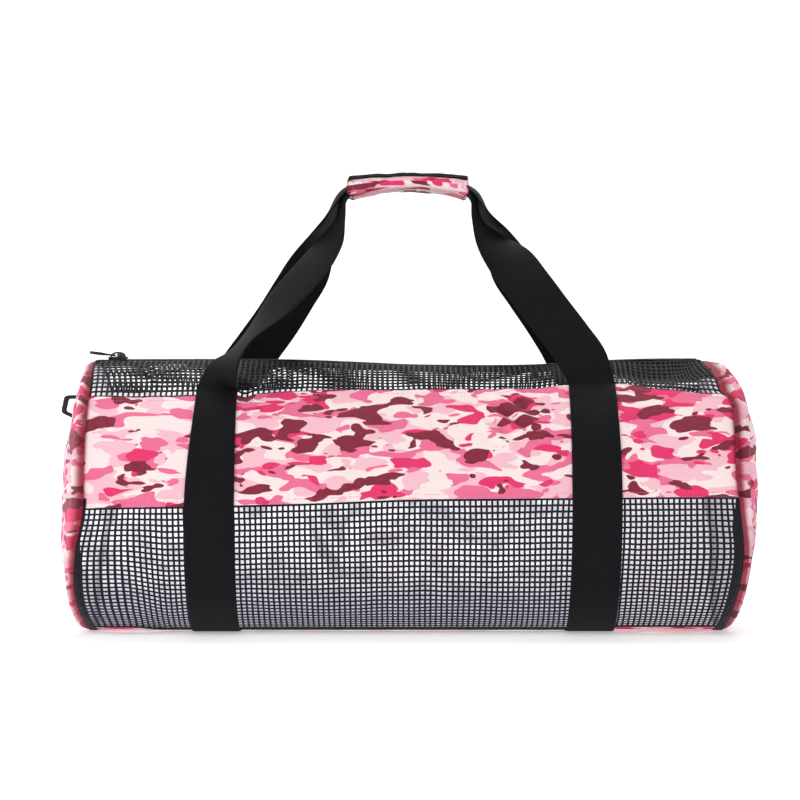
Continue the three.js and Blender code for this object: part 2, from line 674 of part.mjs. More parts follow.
// A plastic ring round the origin's upright bar, reaching along -X
function dRing() {
  const near = RING_ROD / 2;
  const far = near - RING_REACH;
  const shape = new THREE.Shape(ringOutline(near, RING_BAR / 2, far, RING_OUTER_BAR / 2, RING_CORNER));
  const hole = ringOutline(
    near - RING_ROD,
    RING_BAR / 2 - RING_ROD,
    far + RING_ROD,
    RING_OUTER_BAR / 2 - RING_ROD / 2,
    RING_CORNER / 2,
  );
  shape.holes.push(new THREE.Path(hole));
  return uprightPlate(shape, RING_ROD);
}

// A loop of webbing round the bar, with its two layers running along +X to the end panel
function ringTab() {
  const start = Math.asin(TAB_WALL / TAB_LOOP);
  const root = TAB_LOOP * Math.cos(start) + TAB_NECK;
  const shape = new THREE.Shape();
  shape.moveTo(root, -TAB_WALL);
  shape.lineTo(root, TAB_WALL);
  shape.absarc(0, 0, TAB_LOOP, start, 2 * Math.PI - start);
  shape.holes.push(new THREE.Path().absarc(0, 0, TAB_LOOP - TAB_WALL, 0, 2 * Math.PI));
  return new THREE.ExtrudeGeometry(shape, {
    depth: TAB_WIDTH,
    bevelEnabled: false,
    curveSegments: 2 * ARC_SEGMENTS,
  }).translate(0, 0, -TAB_WIDTH / 2);
}

// The left end panel's outer face at a distance behind the bag's middle and a height
function leftEndFace(y, z) {
  const angle = Math.atan2(z - CENTRE_HEIGHT, -y);
  const rim = bodyPoint(seamPlace("left", angle), angle, 0);
  const share = Math.hypot(y, z - CENTRE_HEIGHT) / Math.hypot(rim.y, rim.z - CENTRE_HEIGHT);
  return endPoint("left", angle, share, 0).x;
}

// The assembly
const bag = new THREE.Group();

function add(name, geometry, material, parent = bag) {
  const mesh = new THREE.Mesh(geometry, material);
  mesh.name = name;
  parent.add(mesh);
  return mesh;
}

for (const panel of PANELS) add(panel.name, panelSheet(panel), panel.isGap ? net : cloth);
add("left_end_panel", endPanel("left"), cloth);
add("right_end_panel", endPanel("right"), cloth);

add("front_handle_strap", handle(-1, LEGS.frontLeft, LEGS.frontRight), webbing);
add("rear_handle_strap", handle(1, LEGS.rearLeft, LEGS.rearRight), webbing);
add("grip_wrap", gripWrap(), cloth);
add("grip_closure_strip", gripClosure(), zipCloth);

add("zip_tape_front", zipTape(-ZIP_HALF_WIDTH, -TAPE_EDGE), zipCloth);
add("zip_tape_rear", zipTape(TAPE_EDGE, ZIP_HALF_WIDTH), zipCloth);
add("zip_chain", zipChain(), zipCloth);

const slider = new THREE.Group();
const crown = bodyPoint(-SLIDER_PLACE, TOP_ANGLE, -ZIP_TAPE_THICKNESS / 2);
slider.position.copy(crown);
add("zip_slider", zipSlider(), zipMetal, slider);
const pull = add("zip_pull", zipPull(), zipMetal, slider);
const plateTop = ZIP_CHAIN_THICKNESS / 2 + SEAM_GAP + SLIDER_PLATE;
pull.position.set(-PULL_HINGE_BACK, 0, plateTop + PULL_THICKNESS / 2 + 1.5 * SEAM_GAP);
pull.rotation.y = degToRad(PULL_RISE);
bag.add(slider);

// The D-ring stands square to the end panel where its tab is sewn on
const ring = new THREE.Group();
const [upper, lower] = [1, -1].map((end) => leftEndFace(RING_BACK, RING_HEIGHT + (end * TAB_WIDTH) / 2));
ring.rotation.y = Math.atan2(upper - lower, TAB_WIDTH);
const tabReach = TAB_LOOP * Math.cos(Math.asin(TAB_WALL / TAB_LOOP)) + TAB_NECK + SEAM_GAP;
ring.position.set(leftEndFace(RING_BACK, RING_HEIGHT) - tabReach, RING_BACK, RING_HEIGHT);
add("d_ring", dRing(), plastic, ring);
add("d_ring_tab", ringTab(), webbing, ring);
bag.add(ring);

// The origin is under the middle of the whole bag, on the floor
const size = new THREE.Box3().setFromObject(bag);
bag.position.set(-(size.min.x + size.max.x) / 2, -(size.min.y + size.max.y) / 2, -size.min.z);

export default bag;
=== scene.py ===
"""The looks of a barrel gear bag of coated net and camouflage cloth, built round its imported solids.

The bag's own frame is used for every formula: millimetres, the middle of the barrel at x = 0, the front face
along -Y and the floor at z = 0. `placed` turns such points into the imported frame's metres.
"""

import logging
import math
from collections.abc import Callable, Sequence
from dataclasses import dataclass, field
from enum import Enum

import bmesh
import bpy
import numpy as np
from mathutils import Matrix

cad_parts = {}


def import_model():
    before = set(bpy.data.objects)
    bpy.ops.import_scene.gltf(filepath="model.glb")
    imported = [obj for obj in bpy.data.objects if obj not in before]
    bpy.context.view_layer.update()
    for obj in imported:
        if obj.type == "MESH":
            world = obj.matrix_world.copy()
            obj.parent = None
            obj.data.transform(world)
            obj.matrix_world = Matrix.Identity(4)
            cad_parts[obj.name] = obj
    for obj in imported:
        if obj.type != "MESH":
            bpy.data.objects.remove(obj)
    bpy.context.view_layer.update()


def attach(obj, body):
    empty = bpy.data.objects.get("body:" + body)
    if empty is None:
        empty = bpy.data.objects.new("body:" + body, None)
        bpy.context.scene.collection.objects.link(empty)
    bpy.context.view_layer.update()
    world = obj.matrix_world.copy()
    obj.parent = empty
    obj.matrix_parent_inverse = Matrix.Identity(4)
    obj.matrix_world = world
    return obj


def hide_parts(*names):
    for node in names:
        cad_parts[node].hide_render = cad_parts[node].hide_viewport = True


log = logging.getLogger("gear_bag")

Array = np.ndarray
MM = 0.001
SHIFT = np.array((9.4955, -0.0139, 0.0))


class End(Enum):
    """The two domed ends of the barrel."""

    LEFT = "left"
    RIGHT = "right"


class Face(Enum):
    """The two long faces of the bag, by the sign of their Y."""

    FRONT = -1
    REAR = 1


# Arithmetic on arrays


def lerp(a: Array | float, b: Array | float, t: Array | float) -> Array:
    """A value between a and b: a + (b - a) t."""
    return a + (b - a) * t


def ease(low: float, high: float, at: Array) -> Array:
    """A soft step from 0 at low to 1 at high: 3 t^2 - 2 t^3."""
    t = np.clip((at - low) / (high - low), 0, 1)
    return t * t * (3 - 2 * t)


def hump(at: Array, middle: float, spread: float) -> Array:
    """A bell of height 1 round a middle: exp(-((at - middle) / spread)^2)."""
    return np.exp(-(((at - middle) / spread) ** 2))


def bowed(value: Array, power: Array | float) -> Array:
    """A value raised to a power with its sign kept: sign(v) |v|^power."""
    return np.sign(value) * np.abs(value) ** power


def distances(line: Array) -> Array:
    """The distance along a line from its first point to each of its points."""
    return np.concatenate([[0], np.cumsum(np.linalg.norm(np.diff(line, axis=0), axis=1))])


def read_rows(keys: Array, rows: Array, at: Array) -> Array:
    """Rows of numbers at rising keys, read straight between them at other places."""
    return np.stack([np.interp(at, keys, column) for column in rows.T], 1)


def towards(start: Sequence[float], finish: Sequence[float], count: int) -> Array:
    """Even points from one point towards another, without the last."""
    return np.linspace(start, finish, count, endpoint=False)


def stacked(*parts: Array) -> Array:
    """Coordinates spread over each other's shapes and stacked last."""
    return np.stack(np.broadcast_arrays(*parts), -1)


def read_curve(keys: Sequence[float], values: Sequence[float], at: Array | float) -> Array:
    """A smooth curve through a table's points, by cubic Hermite pieces with slopes from the neighbours.

    Args:
        keys: The rising keys of the table.
        values: The table's value at each key.
        at: Where the curve is read, held between the first and last keys.

    Returns:
        The curve's values, in the shape of at.
    """
    keys, values = np.asarray(keys, float), np.asarray(values, float)
    place = np.clip(at, keys[0], keys[-1])
    last = len(keys) - 1
    b = np.clip(np.searchsorted(keys, place), 1, last)
    a = b - 1
    before, after = np.maximum(b - 2, 0), np.minimum(b + 1, last)
    span = keys[b] - keys[a]
    t = (place - keys[a]) / span
    slope_a = (values[b] - values[before]) / (keys[b] - keys[before]) * span
    slope_b = (values[after] - values[a]) / (keys[after] - keys[a]) * span
    return (
        (2 * t**3 - 3 * t**2 + 1) * values[a]
        + (t**3 - 2 * t**2 + t) * slope_a
        + (3 * t**2 - 2 * t**3) * values[b]
        + (t**3 - t**2) * slope_b
    )


@dataclass(frozen=True)
class Ripple:
    """Soft random waves over a surface: the mean of cosines of random directions, about one wavelength long.

    Attributes:
        wavelength: The usual distance between crests, in millimetres.
        seed: What fixes the random directions and phases.
        stretch: How much longer the waves are along the first direction than along the second.
        waves: How many cosines are added.
    """

    wavelength: float
    seed: int
    stretch: float = 1.0
    waves: int = 9

    def __call__(self, u: Array, v: Array) -> Array:
        """The waves' height.

        Args:
            u: The distance along the first direction, in millimetres.
            v: The distance along the second.

        Returns:
            The height, mostly between -1 and 1.
        """
        rng = np.random.default_rng(self.seed)
        turn = rng.uniform(0, 2 * math.pi, self.waves)
        rate = 2 * math.pi / (self.wavelength * rng.uniform(0.7, 1.5, self.waves))
        phase = rng.uniform(0, 2 * math.pi, self.waves)
        total = sum(
            np.cos(k * (np.cos(a) * u / self.stretch + np.sin(a) * v) + p)
            for a, k, p in zip(turn, rate, phase)
        )
        return total / math.sqrt(self.waves)


def along_curve(rows: Array, count: int) -> Array:
    """Rows of points, drawn smoothly through and divided evenly by the length of their middle line.

    Args:
        rows: The points, rows by places across by 3.
        count: How many rows come out.

    Returns:
        The new rows, by a cubic Hermite curve over each place across, with the first and last rows kept.
    """
    key = distances(rows[:, rows.shape[1] // 2])
    at = np.linspace(0, key[-1], count)
    flat = rows.reshape(len(rows), -1)
    return np.stack([read_curve(key, column, at) for column in flat.T], 1).reshape(count, *rows.shape[1:])


def normals_of(grid: Array) -> Array:
    """The unit normals of a grid of points, along the first direction crossed with the second."""
    normal = np.cross(np.gradient(grid, axis=0), np.gradient(grid, axis=1))
    return normal / np.maximum(np.linalg.norm(normal, axis=-1, keepdims=True), 1e-9)


# Meshes


@dataclass
class Patch:
    """Faces of a mesh before it is made: points in millimetres, faces by size, their corners' UV and the inside.

    Attributes:
        points: The points, by 3.
        faces: Arrays of faces, each array with faces of one number of corners.
        uvs: For each array of faces, its corners' UV in metres.
        inside: For each point, 1 on a cloth's wrong side and 0 on its right side.
        sunk: For each point, how much painted shade darkens it: 1 in the depth of a seam and 0 on the open cloth. Left
            out, it is 0.
    """

    points: Array
    faces: list[Array]
    uvs: list[Array]
    inside: Array
    sunk: Array | None = None

    @staticmethod
    def joined(patches: Sequence["Patch"]) -> "Patch":
        """Several patches as one, in order, without their sunk values."""
        starts = np.cumsum([0] + [len(p.points) for p in patches])
        return Patch(
            np.concatenate([p.points for p in patches]),
            [f + s for p, s in zip(patches, starts) for f in p.faces],
            [uv for p in patches for uv in p.uvs],
            np.concatenate([p.inside for p in patches]),
        )


def shell(
    outer: Array, inner: Array, uv: Array, closed: bool = False, present: Array | None = None
) -> Patch:
    """A closed sheet between two grids of points, with walls round its edges and round its holes.

    Args:
        outer: The outer face's points, n by m by 3. It faces along the first direction crossed with the second.
        inner: The inner face's points, in the same order.
        uv: The UV in metres of each grid point, n (or n + 1 if closed) by m by 2.
        closed: Whether the first direction runs round into itself.
        present: Which cells are there, the first direction's cells by m - 1. All of them if left out.

    Returns:
        The sheet as a patch of four-cornered faces.
    """
    n, m = outer.shape[:2]
    columns = n if closed else n - 1
    keep = np.ones((columns, m - 1), bool) if present is None else present
    half = n * m
    frame = np.pad(keep, ((1, 1), (1, 1)))
    if closed:
        frame[0, 1:-1], frame[-1, 1:-1] = keep[-1], keep[0]
    faces, uvs = [], []

    def corner(i: Array, j: Array) -> tuple[Array, Array]:
        """The number of a point of the outer grid, and its UV."""
        return (i % n) * m + j, uv[i, j]

    i, j = np.nonzero(keep)
    ring = [corner(i, j), corner(i + 1, j), corner(i + 1, j + 1), corner(i, j + 1)]
    faces.append(np.stack([index for index, _ in ring], 1))
    uvs.append(np.stack([place for _, place in ring], 1))
    faces.append(faces[0][:, ::-1] + half)
    uvs.append(uvs[0][:, ::-1])
    sides = [((0, -1), (0, 0), (1, 0)), ((1, 0), (1, 0), (1, 1)), ((0, 1), (1, 1), (0, 1)), ((-1, 0), (0, 1), (0, 0))]
    for (di, dj), (ai, aj), (bi, bj) in sides:
        bare = keep & ~frame[1 + di : 1 + di + columns, 1 + dj : dj + m]
        i, j = np.nonzero(bare)
        (a, uv_a), (b, uv_b) = corner(i + ai, j + aj), corner(i + bi, j + bj)
        faces.append(np.stack([b, a, a + half, b + half], 1))
        uvs.append(np.stack([uv_b, uv_a, uv_a, uv_b], 1))
    points = np.concatenate([outer.reshape(-1, 3), inner.reshape(-1, 3)])
    return Patch(points, faces, uvs, np.repeat([0.0, 1.0], half))


def loop_solid(rings: Array) -> Patch:
    """A solid whose rings of points run round and into each other, as round a ring or an eyed plate.

    Args:
        rings: The profile's points by the path's points by 3, both closed, with their normals outwards.

    Returns:
        The solid as a patch of four-cornered faces.
    """
    k, n = rings.shape[:2]
    i, j = (g.ravel() for g in np.meshgrid(np.arange(k), np.arange(n), indexing="ij"))
    faces = np.stack([i * n + j, (i + 1) % k * n + j, (i + 1) % k * n + (j + 1) % n, i * n + (j + 1) % n], 1)
    points = rings.reshape(-1, 3)
    return Patch(points, [faces], [points[faces][..., :2] * MM], np.zeros(len(points)))


def stack_solid(rings: Array) -> Patch:
    """A solid of rings of points stacked one on another, with a flat cap at each end.

    Args:
        rings: The levels by the points round by 3, anticlockwise seen from the last level.

    Returns:
        The solid as a patch, with its two caps as faces of many corners.
    """
    k, n = rings.shape[:2]
    i, j = (g.ravel() for g in np.meshgrid(np.arange(k - 1), np.arange(n), indexing="ij"))
    sides = np.stack([i * n + j, i * n + (j + 1) % n, (i + 1) * n + (j + 1) % n, (i + 1) * n + j], 1)
    caps = np.stack([np.arange(n)[::-1], (k - 1) * n + np.arange(n)])
    points = rings.reshape(-1, 3)
    faces = [sides, caps]
    return Patch(points, faces, [points[f][..., :2] * MM for f in faces], np.zeros(len(points)))


def rod(path: Array, up: Array, half_width: float, half_height: float, round_steps: int = 12) -> Patch:
    """A rod of rounded square section along an open path: a superellipse of power 3 carried along it.

    Args:
        path: The rod's middle line, n by 3.
        up: The direction of the section's height at each point, n by 3 or one for all.
        half_width: Half the section's width, across both the path and up.
        half_height: Half the section's height, along up.
        round_steps: The number of points round the section.

    Returns:
        The rod, with flat ends.
    """
    along = np.gradient(path, axis=0)
    along /= np.linalg.norm(along, axis=1, keepdims=True)
    side = np.cross(along, np.broadcast_to(up, path.shape))
    side /= np.linalg.norm(side, axis=1, keepdims=True)
    top = np.cross(side, along)
    turn = np.linspace(0, 2 * math.pi, round_steps, endpoint=False) + math.pi / round_steps
    width, height = half_width * bowed(np.cos(turn), 2 / 3), half_height * bowed(np.sin(turn), 2 / 3)
    rings = path[:, None] + side[:, None] * width[:, None] + top[:, None] * height[:, None]
    return stack_solid(rings[:, ::-1])


def lozenges(
    centre: Array, along: Array, normal: Array, length: Array | float, width: float, height: float
) -> Patch:
    """Small plump bodies pointed at both ends, such as stitches, all from one pattern of fourteen points.

    Args:
        centre: The bodies' middles, n by 3.
        along: The unit direction of each body's length.
        normal: The unit direction that each body stands up in.
        length: The bodies' length, one for all or one each.
        width: Their full width.
        height: Their full height, half of it under the middle.

    Returns:
        One patch of all of them.
    """
    across = np.cross(normal, along)
    square = np.array([(1, 0), (0, 1), (-1, 0), (0, -1)], float)
    pattern = [(-0.5, 0, 0)]
    for place, fat in ((-0.34, 0.8), (0, 1), (0.34, 0.8)):
        pattern += [(place, fat * a, fat * b) for a, b in square]
    pattern = np.array(pattern + [(0.5, 0, 0)])
    reach = np.broadcast_to(np.asarray(length, float).reshape(-1, 1, 1), (len(centre), 1, 1))
    points = (
        centre[:, None]
        + along[:, None] * pattern[None, :, :1] * reach
        + across[:, None] * pattern[None, :, 1:2] * width / 2
        + normal[:, None] * pattern[None, :, 2:] * height / 2
    )
    ring = np.arange(4)
    after = (ring + 1) % 4
    tips = np.concatenate(
        [
            np.stack([np.zeros(4, int), 1 + after, 1 + ring], 1),
            np.stack([np.full(4, 13), 9 + ring, 9 + after], 1),
        ]
    )
    sides = np.concatenate([np.stack([s + ring, s + after, s + 4 + after, s + 4 + ring], 1) for s in (1, 5)])
    starts = (np.arange(len(centre)) * 14)[:, None, None]
    faces = [(tips + starts).reshape(-1, 3), (sides + starts).reshape(-1, 4)]
    flat = points.reshape(-1, 3)
    return Patch(flat, faces, [flat[f][..., :2] * MM for f in faces], np.zeros(len(flat)))


def placed(points: Array) -> Array:
    """Points of the bag's own frame in millimetres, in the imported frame's metres."""
    return (points + SHIFT) * MM


def make_piece(
    name: str,
    patch: Patch,
    material: bpy.types.Material,
    stands_for: Sequence[str] = (),
    body: str = "bag",
    sharp: float = 60.0,
    weld: bool = False,
) -> bpy.types.Object:
    """Makes one piece of the bag from a patch, and ties it to the frame.

    Args:
        name: The piece's name.
        patch: Its faces, in the bag's own frame.
        material: Its finish.
        stands_for: The solids that it replaces.
        body: The body that it rides on.
        sharp: The angle in degrees past which an edge stays sharp.
        weld: Whether points in one place are merged, as at a pole.

    Returns:
        The new object.
    """
    mesh = bpy.data.meshes.new(name)
    sizes = np.concatenate([np.full(len(f), f.shape[1]) for f in patch.faces])
    corners = np.concatenate([f.ravel() for f in patch.faces]).astype(np.int32)
    mesh.vertices.add(len(patch.points))
    mesh.vertices.foreach_set("co", placed(patch.points).astype(np.float32).ravel())
    mesh.loops.add(len(corners))
    mesh.loops.foreach_set("vertex_index", corners)
    mesh.polygons.add(len(sizes))
    mesh.polygons.foreach_set("loop_start", np.concatenate([[0], np.cumsum(sizes)[:-1]]).astype(np.int32))
    mesh.update(calc_edges=True)
    layer = mesh.uv_layers.new(name="UVMap")
    layer.data.foreach_set("uv", np.concatenate([uv.reshape(-1) for uv in patch.uvs]).astype(np.float32))
    # The sunk attribute holds painted shade: the cloth's material darkens where it is high.
    sunk = np.zeros(len(patch.points)) if patch.sunk is None else patch.sunk
    for title, values in (("inside", patch.inside), ("sunk", sunk)):
        mesh.attributes.new(title, "FLOAT", "POINT").data.foreach_set("value", values.astype(np.float32))
    if weld:
        merged = bmesh.new()
        merged.from_mesh(mesh)
        bmesh.ops.remove_doubles(merged, verts=merged.verts, dist=1e-6)
        bmesh.ops.dissolve_degenerate(merged, edges=merged.edges, dist=1e-7)
        merged.to_mesh(mesh)
        merged.free()
    mesh.polygons.foreach_set("use_smooth", np.ones(len(mesh.polygons), bool))
    mesh.set_sharp_from_angle(angle=math.radians(sharp))
    mesh.validate()
    piece = bpy.data.objects.new(name, mesh)
    bpy.context.scene.collection.objects.link(piece)
    mesh.materials.append(material)
    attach(piece, body)
    if stands_for:
        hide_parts(*stands_for)
    log.info("%s: %d faces", name, len(mesh.polygons))
    return piece


# Materials


class Tree:
    """A material's or group's nodes, with short ways to add and join them."""

    def __init__(self, tree: bpy.types.NodeTree) -> None:
        """Starts from a node tree that is there."""
        self.tree = tree

    def add(self, kind: str, settings: dict | None = None, **inputs: object) -> bpy.types.Node:
        """A new node.

        Args:
            kind: The node's type, without its ShaderNode prefix.
            settings: Its own properties.
            **inputs: Its inputs, as `feed` takes them.

        Returns:
            The node.
        """
        node = self.tree.nodes.new("ShaderNode" + kind)
        for key, value in (settings or {}).items():
            setattr(node, key, value)
        self.feed(node, **inputs)
        return node

    def feed(self, node: bpy.types.Node, **inputs: object) -> None:
        """Joins sockets to a node's inputs, or sets the inputs to values.

        Args:
            node: The node.
            **inputs: Its inputs by name, with _ for a space, or by index as i0, i1.
        """
        for key, value in inputs.items():
            index = int(key[1:]) if key[0] == "i" and key[1:].isdigit() else None
            socket = node.inputs[index if index is not None else key.replace("_", " ")]
            if isinstance(value, bpy.types.NodeSocket):
                self.tree.links.new(value, socket)
            else:
                socket.default_value = value

    def math(self, operation: str, *values: object) -> bpy.types.NodeSocket:
        """The result of a Math node on two or three values or sockets."""
        inputs = {f"i{i}": value for i, value in enumerate(values)}
        return self.add("Math", {"operation": operation}, **inputs).outputs[0]

    def vector(self, operation: str, *values: object) -> bpy.types.NodeSocket:
        """The result of a Vector Math node on its values or sockets."""
        inputs = {f"i{i}": value for i, value in enumerate(values)}
        return self.add("VectorMath", {"operation": operation}, **inputs).outputs[0]

    def mix(self, factor: object, first: object, second: object) -> bpy.types.NodeSocket:
        """A colour between two, by a factor."""
        node = self.add("Mix", {"data_type": "RGBA"}, i0=factor, i6=first, i7=second)
        return node.outputs[2]

    def darkened(self, first: object, second: object) -> bpy.types.NodeSocket:
        """One colour multiplied by another."""
        product = self.mix(1.0, first, second)
        product.node.blend_type = "MULTIPLY"
        return product

    def step(self, value: object, low: float, high: float) -> bpy.types.NodeSocket:
        """A soft mask from 0 at low to 1 at high."""
        node = self.add("MapRange", {"interpolation_type": "SMOOTHSTEP"}, i0=value, i1=low, i2=high)
        return node.outputs[0]

    def noise(self, vector: object, scale: float, detail: float = 2.0, **inputs: object) -> bpy.types.Node:
        """A noise texture on a vector."""
        return self.add("TexNoise", None, Vector=vector, Scale=scale, Detail=detail, **inputs)


def srgb(red: int, green: int, blue: int) -> tuple[float, float, float, float]:
    """A colour of 0 to 255 parts, as the linear values that a shader takes."""
    parts = [c / 255 for c in (red, green, blue)]
    return (*[c / 12.92 if c <= 0.04045 else ((c + 0.055) / 1.055) ** 2.4 for c in parts], 1.0)


def new_group(name: str, inputs: dict[str, str], outputs: dict[str, str]) -> tuple[Tree, dict, bpy.types.Node]:
    """A new node group with named sockets.

    Args:
        name: The group's name.
        inputs: Its inputs, each with the kind of its socket.
        outputs: Its outputs, likewise.

    Returns:
        Its tree, its input sockets by name, and its output node.
    """
    group = bpy.data.node_groups.new(name, "ShaderNodeTree")
    for way, sockets in (("INPUT", inputs), ("OUTPUT", outputs)):
        for socket, kind in sockets.items():
            group.interface.new_socket(socket, in_out=way, socket_type="NodeSocket" + kind)
    source, result = group.nodes.new("NodeGroupInput"), group.nodes.new("NodeGroupOutput")
    return Tree(group), {socket: source.outputs[socket] for socket in inputs}, result


@dataclass(frozen=True)
class Blobs:
    """One colour of the printed pattern.

    Attributes:
        offset: Where the layer's noise is read, off the other layers.
        scale: The noise's scale, against the palest layer's.
        level: The noise above which the colour lies.
        drift: How much the noise rises for each metre along the cloth.
        paint: The colour, as 0 to 255 parts.
    """

    offset: tuple[float, float, float]
    scale: float
    level: float
    drift: float
    paint: tuple[int, int, int]


PRINT_GROUND = (252, 230, 229)
PRINT = (
    Blobs((0.0, 0.0, 3.1), 1.1, 0.528, 0.0, (248, 192, 205)),
    Blobs((5.0, 2.0, 11.7), 1.15, 0.586, 0.05, (237, 112, 152)),
    Blobs((9.0, 7.0, 23.9), 1.05, 0.634, 0.05, (230, 44, 108)),
    Blobs((2.0, 4.0, 37.3), 1.25, 0.63, 0.0, (128, 22, 50)),
)


@dataclass(frozen=True)
class Repeat:
    """How the printed pattern is laid out.

    Attributes:
        rate: The noise's places for each metre along and across the cloth.
        bends: The noises that bend those places: their scales, and how far they bend along and across.
        lobe_scale: The scale of the lobes, against the blobs' own.
        lobe_reach: How far from a lobe's middle it raises the noise.
        lobe_height: How much it raises the noise.
        start: Where along the cloth the drift is nothing, in metres.
        edge: Half the width of a blob's soft edge, in parts of the noise.
        rim: Where the darker rim ends and where it is full, likewise.
        rim_share: How dark the rim is.
    """

    rate: tuple[float, float, float] = (24.0, 55.0, 0.0)
    bends: tuple = ((1.2, (0.5, 0.6, 0.0)), (2.6, (0.16, 0.2, 0.0)))
    lobe_scale: float = 2.1
    lobe_reach: float = 0.42
    lobe_height: float = 0.2
    start: float = 0.3
    edge: float = 0.003
    rim: tuple[float, float] = (0.014, 0.002)
    rim_share: float = 0.16


def camouflage_group() -> bpy.types.NodeTree:
    """The printed pattern: blobs in four colours over the ground, one over another, each a noise cut at a level.

    A layer's noise is read at the UV times the repeat's rate, bent by two other noises. Round lobes are added to
    it: reach less the soft distance to the nearest point of an uneven lattice, times a height. A blob is where the
    sum is above the layer's level, with a faint darker rim where the two are nearly the same.
    """
    repeat = Repeat()
    tree, given, result = new_group("camouflage_print", {"Vector": "Vector", "Seed": "Float"}, {"Color": "Color"})
    along = tree.add("SeparateXYZ", None, Vector=given["Vector"]).outputs[0]
    flat = tree.vector("MULTIPLY", given["Vector"], repeat.rate)
    spot = tree.vector("ADD", flat, tree.add("CombineXYZ", None, Z=given["Seed"]).outputs[0])
    for scale, reach in repeat.bends:
        bend = tree.vector("SUBTRACT", tree.noise(spot, scale, 0.0).outputs["Color"], (0.5, 0.5, 0.5))
        spot = tree.vector("ADD", spot, tree.vector("MULTIPLY", bend, reach))
    color: object = srgb(*PRINT_GROUND)
    cells = {"feature": "SMOOTH_F1", "voronoi_dimensions": "2D"}
    for blobs in PRINT:
        place = tree.vector("ADD", spot, blobs.offset)
        noise = tree.noise(place, blobs.scale, 0.5, Roughness=0.4).outputs["Fac"]
        apart = tree.vector("ADD", place, tree.add("CombineXYZ", None, X=given["Seed"]).outputs[0])
        lobes = tree.add(
            "TexVoronoi", cells, Vector=apart, Scale=blobs.scale * repeat.lobe_scale, Smoothness=0.5, Randomness=0.9
        )
        near = tree.math("SUBTRACT", repeat.lobe_reach, lobes.outputs["Distance"])
        noise = tree.math("ADD", noise, tree.math("MULTIPLY", near, repeat.lobe_height))
        drifted = tree.math("MULTIPLY", tree.math("SUBTRACT", along, repeat.start), blobs.drift)
        noise = tree.math("ADD", noise, drifted)
        blob = tree.step(noise, blobs.level - repeat.edge, blobs.level + repeat.edge)
        color = tree.mix(blob, color, srgb(*blobs.paint))
        rim = tree.step(tree.math("ABSOLUTE", tree.math("SUBTRACT", noise, blobs.level)), *repeat.rim)
        color = tree.mix(tree.math("MULTIPLY", rim, repeat.rim_share), color, tree.darkened(color, color))
    tree.tree.links.new(color, result.inputs["Color"])
    return tree.tree


def weave_group() -> bpy.types.NodeTree:
    """A plain weave: threads that pass over and under, sin(u) sin(v) with u and v at the thread's pitch."""
    tree, given, result = new_group("plain_weave", {"Vector": "Vector", "Pitch": "Float"}, {"Height": "Float"})
    parts = tree.add("SeparateXYZ", None, Vector=given["Vector"])
    waves = [
        tree.math("SINE", tree.math("DIVIDE", tree.math("MULTIPLY", parts.outputs[i], math.pi), given["Pitch"]))
        for i in (0, 1)
    ]
    height = tree.math("ABSOLUTE", tree.math("MULTIPLY", *waves))
    tree.tree.links.new(height, result.inputs["Height"])
    return tree.tree


def webbing_group() -> bpy.types.NodeTree:
    """Heavy webbing: warp cords along it, each crossed by picks that step by half from cord to cord."""
    sockets = {"Vector": "Vector", "Cord": "Float", "Pick": "Float"}
    tree, given, result = new_group("webbing_weave", sockets, {"Height": "Float"})
    parts = tree.add("SeparateXYZ", None, Vector=given["Vector"])
    cord = tree.math("DIVIDE", parts.outputs[0], given["Cord"])
    half = tree.math("MULTIPLY", tree.math("FLOOR", cord), 0.5)
    pick = tree.math("ADD", tree.math("DIVIDE", parts.outputs[1], given["Pick"]), half)
    across = tree.math("ABSOLUTE", tree.math("SINE", tree.math("MULTIPLY", cord, math.pi)))
    along = tree.math("ABSOLUTE", tree.math("SINE", tree.math("MULTIPLY", pick, math.pi)))
    height = tree.math("MULTIPLY", tree.math("POWER", across, 0.5), tree.math("MULTIPLY_ADD", along, 0.6, 0.4))
    tree.tree.links.new(height, result.inputs["Height"])
    return tree.tree


@dataclass(frozen=True)
class Finish:
    """A finish and how to make it.

    Attributes:
        name: The material's name.
        color: Its base colour, as 0 to 255 parts.
        roughness: Its mean roughness.
    """

    name: str
    color: tuple[int, int, int] = (30, 30, 33)
    roughness: float = 0.7

    def start(self) -> tuple[bpy.types.Material, Tree, bpy.types.Node]:
        """A new material, its tree and its Principled shader, with the plain colour and roughness set."""
        material = bpy.data.materials.new(self.name)
        material.use_nodes = True
        tree = Tree(material.node_tree)
        shader = material.node_tree.nodes["Principled BSDF"]
        tree.feed(shader, Base_Color=srgb(*self.color), Roughness=self.roughness)
        return material, tree, shader

    def mottle(self, tree: Tree, shader: bpy.types.Node, scale: float, share: float) -> bpy.types.NodeSocket:
        """Lets the colour and roughness wander a little by a noise on Object coordinates.

        Args:
            tree: The material's tree.
            shader: Its Principled shader.
            scale: The noise's scale, a metre.
            share: How far the colour wanders, as a share of it.

        Returns:
            The noise, from 0 to 1.
        """
        place = tree.add("TexCoord").outputs["Object"]
        noise = tree.noise(place, scale, 4.0).outputs["Fac"]
        base = srgb(*self.color)
        dark = tuple(c * (1 - share) for c in base[:3]) + (1.0,)
        light = tuple(c * (1 + share) for c in base[:3]) + (1.0,)
        rough = tree.math("MULTIPLY_ADD", noise, 0.24, self.roughness - 0.12)
        tree.feed(shader, Base_Color=tree.mix(noise, dark, light), Roughness=rough)
        return noise

    def bump(self, tree: Tree, shader: bpy.types.Node, height: bpy.types.NodeSocket, depth: float) -> None:
        """Feeds a height into the shader's normal, with its full depth in metres."""
        tree.feed(shader, Normal=tree.add("Bump", None, Height=height, Distance=depth, Strength=1.0).outputs[0])


